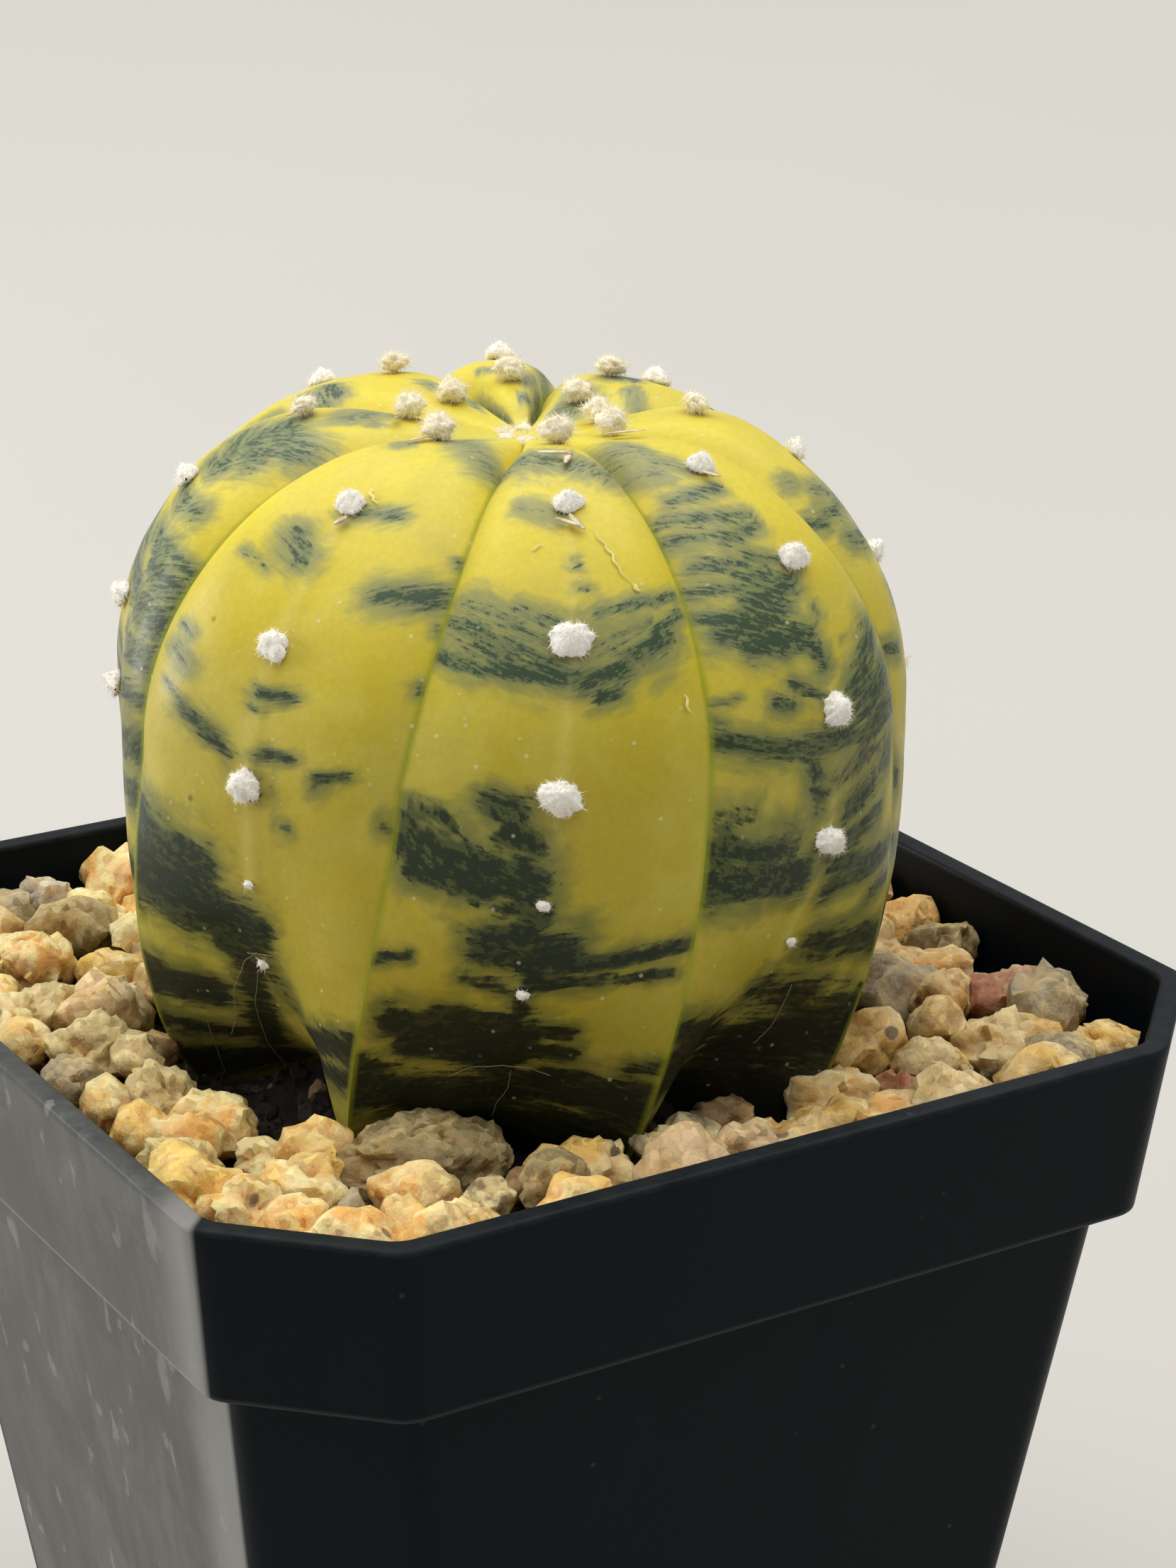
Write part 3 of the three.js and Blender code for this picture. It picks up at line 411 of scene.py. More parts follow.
class Finish:
    """One material or shader group, laid down node by node."""

    def __init__(self, tree):
        self.tree = tree

    def add(self, kind, inputs=None, output=0, **settings):
        node = self.tree.nodes.new(kind)
        for key, value in settings.items():
            setattr(node, key, value)
        for key, value in (inputs or {}).items():
            self.feed(node.inputs[key], value)
        return node.outputs[output]

    def feed(self, socket, value):
        if isinstance(value, bpy.types.NodeSocket):
            self.tree.links.new(value, socket)
        else:
            socket.default_value = value

    def attribute(self, name, output="Fac"):
        return self.add("ShaderNodeAttribute", output=output, attribute_name=name)

    def coordinates(self):
        return self.add("ShaderNodeTexCoord", output="Object")

    def scaled(self, vector, x, y, z):
        return self.add("ShaderNodeMapping", {"Vector": vector, "Scale": (x, y, z)})

    def noise(self, vector, scale, detail=3.0, roughness=0.55, distortion=0.0):
        return self.add("ShaderNodeTexNoise", {"Vector": vector, "Scale": scale, "Detail": detail,
                                               "Roughness": roughness, "Distortion": distortion})

    def cells(self, vector, scale, feature="F1", output="Distance", randomness=1.0):
        return self.add("ShaderNodeTexVoronoi", {"Vector": vector, "Scale": scale, "Randomness": randomness},
                        output=output, feature=feature)

    def math(self, operation, *values, clamp=False):
        return self.add("ShaderNodeMath", dict(enumerate(values)), operation=operation, use_clamp=clamp)

    def times(self, *values, clamp=False):
        return self.math("MULTIPLY", *values, clamp=clamp)

    def axis(self, vector, name):
        return self.add("ShaderNodeSeparateXYZ", {"Vector": vector}, output=name)

    def fade(self, value, low, high, start=0.0, end=1.0):
        """Start below low, end above high, smooth between."""
        inputs = {"Value": value, "From Min": low, "From Max": high, "To Min": start, "To Max": end}
        return self.add("ShaderNodeMapRange", inputs, interpolation_type="SMOOTHSTEP")

    def mix(self, factor, a, b, blend="MIX"):
        node = self.tree.nodes.new("ShaderNodeMix")
        node.data_type = "RGBA"
        node.blend_type = blend
        node.clamp_factor = True
        self.feed(node.inputs[0], factor)
        self.feed(node.inputs[6], a)
        self.feed(node.inputs[7], b)
        return node.outputs[2]

    def ramp(self, value, stops):
        """Colour along a value, from rows of position and linear colour."""
        node = self.tree.nodes.new("ShaderNodeValToRGB")
        elements = node.color_ramp.elements
        while len(elements) < len(stops):
            elements.new(0.5)
        for element, (position, colour) in zip(elements, stops):
            element.position = position
            element.color = (*colour, 1)
        self.feed(node.inputs["Fac"], value)
        return node.outputs["Color"]

    def group(self, tree, inputs, output):
        node = self.tree.nodes.new("ShaderNodeGroup")
        node.node_tree = tree
        for key, value in inputs.items():
            self.feed(node.inputs[key], value)
        return node.outputs[output]

    def specks(self, vector, scale, share, size):
        inputs = {"Vector": vector, "Scale": scale, "Share": share, "Size": size}
        return self.group(SPECKS, inputs, "Mask")

    def blotches(self, vector, scale, low, high):
        inputs = {"Vector": vector, "Scale": scale, "Low": low, "High": high}
        return self.group(BLOTCHES, inputs, "Mask")

    def crystals(self, vector, scale, lean):
        return self.group(CRYSTALS, {"Vector": vector, "Scale": scale, "Lean": lean}, "Height")

    def bump(self, height, distance, strength):
        inputs = {"Height": height, "Distance": distance, "Strength": strength}
        return self.add("ShaderNodeBump", inputs, output="Normal")

    def dress(self, shader, inputs):
        """Gives the shader its inputs, each a socket or a constant."""
        for key, value in inputs.items():
            self.feed(shader.inputs[key], value)


def rgba(colour):
    return (*colour, 1.0)


def material(name):
    made = bpy.data.materials.new(name)
    made.use_nodes = True
    finish = Finish(made.node_tree)
    shader = made.node_tree.nodes["Principled BSDF"]
    return made, finish, shader


def shader_group(name, inputs, outputs):
    """An empty shader group with its sockets, and the nodes at its two ends."""
    tree = bpy.data.node_groups.new(name, "ShaderNodeTree")
    kinds = {"float": "NodeSocketFloat", "vector": "NodeSocketVector", "colour": "NodeSocketColor"}
    for key, (kind, value) in inputs.items():
        socket = tree.interface.new_socket(name=key, in_out="INPUT", socket_type=kinds[kind])
        socket.default_value = value
    for key, kind in outputs.items():
        tree.interface.new_socket(name=key, in_out="OUTPUT", socket_type=kinds[kind])
    start = tree.nodes.new("NodeGroupInput")
    end = tree.nodes.new("NodeGroupOutput")
    return tree, Finish(tree), start.outputs, end.inputs


def specks_group():
    """Scattered round specks: a mask, 1 in a speck, from cells of which only some hold one."""
    inputs = {"Vector": ("vector", (0, 0, 0)), "Scale": ("float", 900.0), "Share": ("float", 0.2),
              "Size": ("float", 0.2)}
    tree, make, given, out = shader_group("Specks", inputs, {"Mask": "float"})
    distance = make.cells(given["Vector"], given["Scale"])
    pick = make.cells(given["Vector"], given["Scale"], output="Color")
    chosen = make.math("LESS_THAN", make.add("ShaderNodeSeparateColor", {"Color": pick}), given["Share"])
    edge = make.math("SUBTRACT", given["Size"], distance)
    round_speck = make.times(edge, 12.0, clamp=True)
    make.feed(out["Mask"], make.times(round_speck, chosen))
    return tree


def blotches_group():
    """Soft uneven blotches between two colours, for anything that isn't one colour all over."""
    inputs = {"Vector": ("vector", (0, 0, 0)), "Scale": ("float", 100.0), "Low": ("float", 0.4),
              "High": ("float", 0.6)}
    tree, make, given, out = shader_group("Blotches", inputs, {"Mask": "float"})
    value = make.noise(given["Vector"], given["Scale"], detail=5.0, roughness=0.6, distortion=0.4)
    make.feed(out["Mask"], make.fade(value, given["Low"], given["High"]))
    return tree


def crystal_group():
    """Crystal faces: the height, in metres, of small planes that each lean their own way."""
    inputs = {"Vector": ("vector", (0, 0, 0)), "Scale": ("float", 700.0), "Lean": ("float", 0.5)}
    tree, make, given, out = shader_group("Crystal planes", inputs, {"Height": "float"})
    middle = make.cells(given["Vector"], given["Scale"], output="Position")
    way = make.cells(given["Vector"], given["Scale"], output="Color")
    lean = make.add("ShaderNodeVectorMath", {0: way, 1: (0.5, 0.5, 0.5)}, operation="SUBTRACT")
    away = make.add("ShaderNodeVectorMath", {0: given["Vector"], 1: middle}, operation="SUBTRACT")
    height = make.add("ShaderNodeVectorMath", {0: away, 1: lean}, output="Value", operation="DOT_PRODUCT")
    make.feed(out["Height"], make.times(height, given["Lean"]))
    return tree


SPECKS = specks_group()
BLOTCHES = blotches_group()
CRYSTALS = crystal_group()


def groove_bearing(index, angle):
    """Bearing in degrees of the groove on the right of a rib, at a meridian angle."""
    low = np.clip((angle - 90) / 60, 0, 1.2)
    high = np.clip((90 - angle) / 90, 0, 1)
    rib = index % RIBS
    turn = GROOVE_TURN[rib] + GROOVE_TURN_FOOT[rib] * low + GROOVE_TURN_CROWN[rib] * high
    return FRONT_RIB + (index + 0.5) * 360 / RIBS + turn


def stem_point(rib, across, angle, raised=0.0):
    """Points of the stem's skin in mm, as the part's source has them. Every argument may be an array."""
    across, angle = np.asarray(across, float), np.asarray(angle, float)
    rib, across, angle, raised = np.broadcast_arrays(rib, across, angle, raised)
    up = angle <= 90
    sine, cosine = np.sin(np.radians(angle)), np.cos(np.radians(angle))
    power = np.where(up, UP_POWER, DOWN_POWER)
    reach = np.where(up, STEM_UP, STEM_DOWN)
    radius = STEM_RADIUS * sine ** (2 / power)
    dip = CROWN_DIP * np.exp(-((radius / CROWN_DIP_RADIUS) ** 2))
    height = reach * np.sign(cosine) * np.abs(cosine) ** (2 / power) - dip
    facing_out = sine ** (2 - 2 / power) / STEM_RADIUS
    facing_up = np.sign(cosine) * np.abs(cosine) ** (2 - 2 / power) / reach
    length = np.hypot(facing_out, facing_up)

    to_middle = np.clip(angle / 90, 0, 1)
    to_foot = np.clip((angle - 92) / 51.5, 0, 1)
    depth = GROOVE_AT_CROWN + (GROOVE_AT_MIDDLE - GROOVE_AT_CROWN) * to_middle
    depth = depth + (GROOVE_AT_FOOT - GROOVE_AT_MIDDLE) * to_foot
    bulge = np.cos(np.pi / 2 * across) ** 2
    groove = depth * smoothstep(radius, 0, 9) * np.abs(across) ** GROOVE_POWER
    hollow = RIB_HOLLOW_FOOT[rib] * to_foot ** 1.5 * bulge
    push = RIB_SWELL[rib] * bulge * sine ** 2 - groove - hollow + raised

    left, right = groove_bearing(rib - 1, angle), groove_bearing(rib, angle)
    turn_low = RIB_TURN_FOOT[rib] * bulge * np.clip((angle - 90) / 60, 0, 1.2)
    bearing = np.radians((left + right) / 2 + across * (right - left) / 2 + turn_low)
    oval = (OVAL_TWO * np.cos(2 * bearing) + OVAL_TWO_SINE * np.sin(2 * bearing)
            + OVAL_THREE * np.cos(3 * bearing))
    out = (radius + facing_out / length * push) * (1 + oval * smoothstep(radius, 0, 12))
    z = height + facing_up / length * push
    near_crown = np.where(up, (1 - radius / STEM_RADIUS) ** 2, 0)
    x = STEM_X + out * np.cos(bearing) + CROWN_SHIFT_X * near_crown + LEAN_X * z
    y = STEM_Y + out * np.sin(bearing) + CROWN_SHIFT_Y * near_crown + LEAN_Y * z
    return np.stack([x, y, STEM_MIDDLE + z], -1)


def stem_place(rib, across, angle):
    """A point of the skin, and the directions out of it, down the meridian and to the right."""
    foot = stem_point(rib, across, angle)
    out = stem_point(rib, across, angle, 1.0) - foot
    down = stem_point(rib, across, angle + 0.5) - foot
    out /= np.linalg.norm(out)
    down -= out * (down @ out)
    down /= np.linalg.norm(down)
    return foot, out, down, np.cross(down, out)


# One across and one degree of the skin in mm, near enough for its colours
ACROSS_MM, ANGLE_MM = 10.0, 0.5
GROWTH_RADIUS = RIBS * 2 * ACROSS_MM / (2 * math.pi)


def cluster_strokes():
    """Strokes of the unseen sides, in bunches that lean up towards the grooves."""
    draw = draws_from(21)
    strokes = {}
    for rib, across, angle, width, count in CLUSTERS:
        for _ in range(count):
            middle = across + (next(draw) - 0.5) * width
            high = angle + (next(draw) - 0.5) * 14 * width
            half = (0.12 + 0.3 * next(draw)) * width
            steep = float(np.clip((112 - high) / 40, -0.2, 1))
            lean = (8 + 8 * next(draw)) * half * (1 if middle > 0 else -1) * steep
            thick = 0.5 + 1.1 * next(draw)
            strength = 0.75 + 0.5 * next(draw)
            stroke = (middle - half, high + lean, middle + half, high - lean, thick, strength)
            strokes.setdefault(rib, []).append(stroke)
    return strokes


def green_at(rib, across, angle, strokes):
    """How green and how hazy the skin is: each stroke of a rib fades from its own line, the haze wider."""
    green, haze = np.zeros_like(across), np.zeros_like(across)
    x, y = across * ACROSS_MM, angle * ANGLE_MM
    for index in range(RIBS):
        own = rib == index
        for across_a, angle_a, across_b, angle_b, thick, strength in strokes.get(index, []):
            ax, ay = across_a * ACROSS_MM, angle_a * ANGLE_MM
            dx, dy = (across_b - across_a) * ACROSS_MM, (angle_b - angle_a) * ANGLE_MM
            along = np.clip(((x - ax) * dx + (y - ay) * dy) / max(dx * dx + dy * dy, 1e-6), 0, 1)
            distance = np.hypot(x - ax - along * dx, y - ay - along * dy)
            slim = min(1.0, thick)
            near = strength * np.exp(-0.95 * (distance / thick) ** 2)
            reach = thick + 0.6 * slim + 0.3
            wide = min(1.0, 1.8 * strength) * (0.5 + 0.5 * slim) * np.exp(-((distance / reach) ** 2))
            green = np.where(own, np.maximum(green, near), green)
            haze = np.where(own, np.maximum(haze, wide), haze)
    return green, haze


def ring_of_ribs(count):
    """The rib and the place across it of each point round the stem, closest together by the grooves."""
    across = np.sin(np.pi / 2 * np.linspace(-1, 1, count + 1)[:-1])
    return np.repeat(np.arange(RIBS), count), np.tile(across, RIBS)


def root_bearing(ring):
    return np.arctan2(ring[:, 1] - ROOT_Y, ring[:, 0] - ROOT_X)


def root_ring(bearing, radius, z):
    """A ring of points round the root's axis, at each bearing, with one radius and height or many."""
    x, y = ROOT_X + radius * np.cos(bearing), ROOT_Y + radius * np.sin(bearing)
    return np.stack([x, y, np.broadcast_to(z, bearing.shape)], -1)


def stem_skin():
    """The fine skin of the stem down to its root, with what its colours need at each point."""
    angles = np.concatenate([np.linspace(*row) for row in SKIN_ANGLES])
    rib_row, across_row = ring_of_ribs(SKIN_ACROSS)
    rib = np.tile(rib_row, (len(angles), 1))
    across_all = np.tile(across_row, (len(angles), 1))
    angle_all = np.tile(angles[:, None], (1, len(across_row)))

    strokes = {index: list(rows) for index, rows in STROKES.items()}
    for index, rows in cluster_strokes().items():
        strokes.setdefault(index, []).extend(rows)
    green, haze = green_at(rib, across_all, angle_all, strokes)
    other_green, other_haze = green_at((rib - 1) % RIBS, np.ones_like(across_all), angle_all, strokes)
    at_groove = across_all <= -1
    green = np.where(at_groove, np.maximum(green, other_green), green)
    haze = np.where(at_groove, np.maximum(haze, other_haze), haze)

    points = stem_point(rib, across_all, angle_all)
    flat = points.reshape(-1, 3)
    uneven = 0.16 * field_noise(flat, 0.12, 1) + 0.05 * field_noise(flat, 0.45, 2)
    ridge = 0.1 * np.exp(-((across_all / 0.04) ** 2)) * smoothstep(angle_all, 25, 45)
    inner = smoothstep(angle_all, 8, 20) * (1 - smoothstep(angle_all, 120, 128))
    raised = (uneven.reshape(rib.shape) * (1 - np.abs(across_all) ** 6) + ridge - 0.16) * inner
    points = stem_point(rib, across_all, angle_all, raised)

    # Round each tuft, centred a little below it, the skin turns warmer and darker: partly its own tint and
    # partly painted shade under the tuft
    stain = np.zeros_like(across_all)
    for index, tufts in enumerate(TUFTS):
        for angle, side, width in tufts:
            dx, dy = (across_all - side) * ACROSS_MM, (angle_all - angle) * ANGLE_MM - 0.5
            near = np.exp(-(np.hypot(dx, dy * 0.8) / (width * 0.75)) ** 2)
            stain = np.where(rib == index, np.maximum(stain, near), stain)

    lean = 10 * np.clip(0.55 * (108 - angle_all) / 45, -0.12, 0.45)
    around = 2 * np.pi * (rib + (across_all + 1) / 2) / RIBS
    growth = np.stack([GROWTH_RADIUS * np.cos(around), GROWTH_RADIUS * np.sin(around),
                       angle_all * ANGLE_MM + lean * np.abs(across_all)], -1)

    sides = len(across_row)
    rings = list(points)
    bearing = root_bearing(rings[-1])
    rings += [root_ring(bearing, radius, z) for radius, z in ROOT_RINGS]
    rings.reverse()

    def spread(values):
        """The values of the rings' points in the mesh's order, the root's rings as the last above them."""
        rows = np.concatenate([values, np.repeat(values[-1:], len(ROOT_RINGS), 0)])[::-1]
        flat_rows = rows.reshape((len(rings) * sides,) + rows.shape[2:])
        return np.concatenate([flat_rows, flat_rows[:1], flat_rows[-1:]])

    every = np.concatenate([np.concatenate(rings), [[ROOT_X, ROOT_Y, ROOT_TIP]], [rings[-1].mean(0)]])
    fields = {"green": green, "haze": haze, "across": np.abs(across_all), "angle": angle_all,
              "stain": stain, "growth": growth}
    attributes = {key: spread(field) for key, field in fields.items()}
    return mesh_object("stem_skin", every, capped_faces(len(rings), sides), attributes)


# Skin colours from the crown (0) to the foot (1): yellow flesh, then three depths of green over it
SKIN_YELLOW = [(0.0, (0.74, 0.63, 0.06)), (0.3, (0.74, 0.61, 0.055)), (0.42, (0.62, 0.505, 0.035)),
               (0.55, (0.47, 0.38, 0.025)), (0.7, (0.45, 0.365, 0.03)), (0.8, (0.42, 0.36, 0.032)),
               (0.92, (0.27, 0.245, 0.022)), (1.0, (0.12, 0.115, 0.018))]
VEIL_GREEN = [(0.0, (0.24, 0.27, 0.19)), (0.4, (0.21, 0.24, 0.11)), (0.7, (0.09, 0.115, 0.028)),
              (1.0, (0.03, 0.036, 0.008))]
BODY_GREEN = [(0.0, (0.18, 0.215, 0.155)), (0.4, (0.15, 0.19, 0.09)), (0.62, (0.036, 0.056, 0.020)),
              (0.75, (0.013, 0.019, 0.006)), (1.0, (0.008, 0.011, 0.003))]
DARK_GREEN = [(0.0, (0.060, 0.10, 0.066)), (0.4, (0.034, 0.068, 0.038)), (0.62, (0.013, 0.026, 0.011)),
              (0.75, (0.006, 0.011, 0.004)), (1.0, (0.003, 0.004, 0.002))]


def skin_material():
    """Waxy yellow skin with green strokes under and in it."""
    made, make, shader = material("variegated_skin")
    growth = make.attribute("growth", "Vector")
    green = make.attribute("green")
    haze = make.attribute("haze")
    across = make.attribute("across")
    angle = make.attribute("angle")
    place = make.coordinates()

    def uneven(round_it, up_it, *shape):
        """Noise round zero in the skin's own growth, this fine round the stem and up it."""
        place = make.scaled(growth, round_it, round_it, up_it)
        return make.math("SUBTRACT", make.noise(place, 1.0, *shape), 0.5)

    streaks = uneven(0.36, 2.2, 6.0, 0.66, 0.4)
    grains = uneven(1.5, 3.2, 4.0, 0.7)
    clouds = uneven(0.5, 1.0, 3.0, 0.5, 0.5)

    def layer(field, cloudy, streaky, grainy, low, high):
        """Where one layer of green shows: its strokes' field, broken up by clouds, streaks and grains."""
        edge = make.math("MULTIPLY_ADD", clouds, cloudy, field)
        edge = make.math("MULTIPLY_ADD", streaks, streaky, edge)
        edge = make.math("MULTIPLY_ADD", grains, grainy, edge)
        return make.times(make.fade(edge, low, high), make.fade(field, 0.05, 0.28))

    veil = layer(haze, 0.8, 0.4, 0.0, 0.08, 0.78)
    low_down = make.fade(angle, 92.0, 118.0, 0.0, 0.15)
    fuller = make.math("MULTIPLY_ADD", make.times(green, low_down), 1.0, green)
    body = layer(fuller, 0.5, 1.9, 0.6, 0.42, 0.8)
    dark = layer(fuller, -0.3, 2.8, 2.6, 0.8, 1.12)

    along = make.math("DIVIDE", angle, 150.0)
    yellow = make.ramp(along, SKIN_YELLOW)
    light_patch = make.blotches(place, 130.0, 0.38, 0.68)
    pale = make.mix(make.times(light_patch, 0.3), yellow, rgba((0.66, 0.58, 0.15)))
    green_patch = make.blotches(place, 75.0, 0.5, 0.7)
    hazed = make.mix(make.times(green_patch, 0.22), pale, rgba((0.30, 0.33, 0.10)))
    # Warmer, darker skin round and below the tufts: partly tint, partly painted shade
    stained = make.mix(make.times(make.attribute("stain"), 0.4), hazed, rgba((0.46, 0.32, 0.03)))
    # Painted highlight: a paler band along each rib's crest, from below the crown down
    crest = make.times(make.fade(across, 0.0, 0.09, 0.22, 0.0), make.fade(angle, 30.0, 45.0))
    crest_highlit = make.mix(crest, stained, rgba((0.72, 0.64, 0.20)))
    veiled = make.mix(make.times(veil, 0.78), crest_highlit, make.ramp(along, VEIL_GREEN))
    thick = make.times(body, make.fade(angle, 92.0, 118.0, 0.74, 0.9))
    bodied = make.mix(thick, veiled, make.ramp(along, BODY_GREEN))
    greened = make.mix(make.times(dark, 0.88), bodied, make.ramp(along, DARK_GREEN))
    # Painted light: a darker, greener line down each groove, for light that comes through the thin skin of
    # the crease
    painted_groove_light = make.times(make.fade(across, 0.955, 0.995), make.fade(angle, 115.0, 140.0, 0.6, 0.25))
    groove_light_painted = make.mix(painted_groove_light, greened, rgba((0.30, 0.33, 0.012)))

    flecks = make.specks(place, 850.0, 0.4, 0.15)
    patchy = make.blotches(place, 260.0, 0.42, 0.6)
    fleck = make.times(make.times(flecks, patchy), 0.5)
    flecked = make.mix(fleck, groove_light_painted, rgba((0.76, 0.74, 0.52)))
    dots = make.specks(place, 400.0, 0.025, 0.12)
    dotted = make.mix(make.times(dots, 0.7), flecked, rgba((0.17, 0.09, 0.015)))
    soiled = make.times(make.fade(angle, 118.0, 150.0), make.noise(place, 420.0, detail=4.0))
    dulled = make.mix(make.times(soiled, 0.7), dotted, rgba((0.035, 0.026, 0.015)))
    mottled = make.fade(make.noise(place, 2200.0, detail=3.0, roughness=0.6), 0.35, 0.65, 0.0, 0.12)
    final = make.mix(mottled, dulled, make.mix(0.5, dulled, rgba((0.0, 0.0, 0.0))))

    waxy = make.fade(make.noise(place, 500.0, detail=3.0), 0.3, 0.7, 0.34, 0.48)
    skin_grain = make.math("ADD", make.noise(place, 1500.0, detail=2.0), make.times(flecks, 0.8))
    make.dress(shader, {
        "Base Color": final,
        "Roughness": make.math("ADD", waxy, make.fade(angle, 100.0, 130.0, 0.0, 0.25)),
        "Normal": make.bump(skin_grain, 0.00006, 0.35),
        "Subsurface Weight": 0.3, "Subsurface Radius": (1.0, 0.8, 0.25), "Subsurface Scale": 0.0008,
        "Specular IOR Level": 0.26})
    return made


def sphere_directions(level):
    """Unit points and faces of a ball made of about equal triangles."""
    ball = bmesh.new()
    bmesh.ops.create_icosphere(ball, subdivisions=level, radius=1.0)
    ball.verts.ensure_lookup_table()
    points = np.array([v.co for v in ball.verts], float)
    faces = np.array([[v.index for v in face.verts] for face in ball.faces])
    ball.free()
    return points / np.linalg.norm(points, axis=1, keepdims=True), faces


BALLS = {level: sphere_directions(level) for level in (2, 3, 4, 5)}


def join_lumps(name, lumps, smooth_angle=None):
    """One mesh from lumps, each a tuple of points, faces and a dict of one value or row per point."""
    points, faces, keys, start = [], [], {}, 0
    for lump_points, lump_faces, values in lumps:
        points.append(lump_points)
        faces.append(lump_faces + start)
        start += len(lump_points)
        for key, value in values.items():
            value = np.asarray(value, float)
            if value.ndim == 0 or value.shape[0] != len(lump_points):
                value = np.tile(value, (len(lump_points),) + (1,) * value.ndim)
            keys.setdefault(key, []).append(value.reshape(len(lump_points), -1))
    attributes = {key: np.squeeze(np.concatenate(rows)) for key, rows in keys.items()}
    return mesh_object(name, np.concatenate(points), np.concatenate(faces).tolist(), attributes, smooth_angle)


def around_noise(directions, scale, seed):
    """Noise that changes only with the bearing round a lump: strands from its tip to its hem."""
    level = np.hypot(directions[:, 0], directions[:, 1])
    ways = directions[:, :2] / np.maximum(level, 1e-6)[:, None]
    return field_noise(np.column_stack([ways, 0.25 * level]), scale, seed)


def felted_cone(directions, width, height, seed):
    """A tuft of the sides, wider than high: matted strands that hang from its tip to a ragged hem."""
    level = np.hypot(directions[:, 0], directions[:, 1])
    lobes = around_noise(directions, 0.9, seed + 3)
    strands = around_noise(directions, 3.4, seed + 5) + 0.5 * around_noise(directions, 7.0, seed + 8)
    reach = (1 + 0.36 * lobes) * (1 + 0.2 * strands * level)
    crumpled = field_noise(directions, 3.0, seed + 9) + 0.6 * field_noise(directions, 7.0, seed + 12)
    top = 0.62 * (1 - level) ** 0.9 + 0.38 * np.sqrt(np.clip(1 - level ** 2, 0, 1))
    above = top + 0.17 * strands * level + 0.14 * crumpled
    rise = np.where(directions[:, 2] > 0, above, 0.25 * directions[:, 2])
    flat = directions[:, :2] * reach[:, None] * width / 2
    return flat[:, 0], 0.76 * flat[:, 1] + 0.1 * width * np.clip(rise, 0, 1), rise * height


def loose_ball(directions, width, height, seed):
    """A young tuft of the crown: a loose ball of wool, lumpy and wider than high."""
    shift = Vector((seed * 3.7, seed, 0))
    lobes = np.array([noise.voronoi(Vector(d) * 1.4 + shift)[0][0] for d in directions])
    fuzz = field_noise(directions, 2.2, seed + 5) + 0.5 * field_noise(directions, 6.0, seed + 6)
    reach = 0.94 - 0.37 * lobes + 0.21 * fuzz
    narrow = 1 - 0.22 * np.clip(directions[:, 2], 0, 1)
    flat = directions[:, :2] * (reach * narrow * width / 2)[:, None]
    return flat[:, 0], 0.85 * flat[:, 1], (directions[:, 2] * reach * 0.5 + 0.4) * height


def wool_lump(form, foot, out, up, width, height, seed, level=4):
    """One lump of wool on the skin, standing along out, with its y side turned up the rib."""
    directions, faces = BALLS[level]
    x, y, z = form(directions, width, height, seed)
    side = np.cross(up, out)
    side /= np.linalg.norm(side)
    along = np.cross(out, side)
    return foot + x[:, None] * side + y[:, None] * along + z[:, None] * out, faces


def tuft_lumps():
    """Every tuft of the stem, and the woolly middle of the crown, each with whether it is young."""
    lumps = []
    sky = np.array([0, 0, 1.0])
    seed = 0
    for rib, tufts in enumerate(TUFTS):
        for angle, across, width in tufts:
            seed += 1
            foot, out, down, _ = stem_place(rib, across, angle)
            young = angle < YOUNG_ANGLE
            lean = out + (0.1 if young else 0.3) * sky
            lean /= np.linalg.norm(lean)
            form = loose_ball if young else felted_cone
            height = width * (0.68 if angle < INNER_ANGLE else 0.52 if young else 0.42)
            size = width * (0.88 if young else 0.8 + 0.13 * smoothstep(angle, 45, 65))
            lump = wool_lump(form, foot, lean, -down, size, height, seed, 4 if width > 1.5 else 3)
            lumps.append((*lump, young))
    centre = stem_point(np.arange(RIBS), 0, 4.0).mean(0)
    for index in range(6):
        turn = 2 * math.pi * index / 6
        foot = centre + np.array([1.5 * math.cos(turn), 1.5 * math.sin(turn), -1.1])
        lumps.append((*wool_lump(loose_ball, foot, sky, np.array([0, 1.0, 0]), 2.2, 1.6, 70 + index), True))
    return lumps


def geometry_tree(name, inputs):
    """An empty geometry tree with named inputs, each a socket kind and a value."""
    tree = bpy.data.node_groups.new(name, "GeometryNodeTree")
    tree.interface.new_socket(name="Geometry", in_out="INPUT", socket_type="NodeSocketGeometry")
    for key, (kind, value) in inputs.items():
        socket = tree.interface.new_socket(name=key, in_out="INPUT", socket_type=kind)
        if value is not None:
            socket.default_value = value
    tree.interface.new_socket(name="Geometry", in_out="OUTPUT", socket_type="NodeSocketGeometry")
    given = tree.nodes.new("NodeGroupInput").outputs
    out = tree.nodes.new("NodeGroupOutput").inputs
    return tree, Finish(tree), given, out


def grow(thing, tree, values):
    """Runs a geometry tree on a piece with these input values and keeps the plain mesh."""
    modifier = thing.modifiers.new(tree.name, "NODES")
    modifier.node_group = tree
    names = {item.name: item.identifier for item in tree.interface.items_tree if item.in_out == "INPUT"}
    for key, value in values.items():
        modifier[names[key]] = value
    plain_mesh(thing)


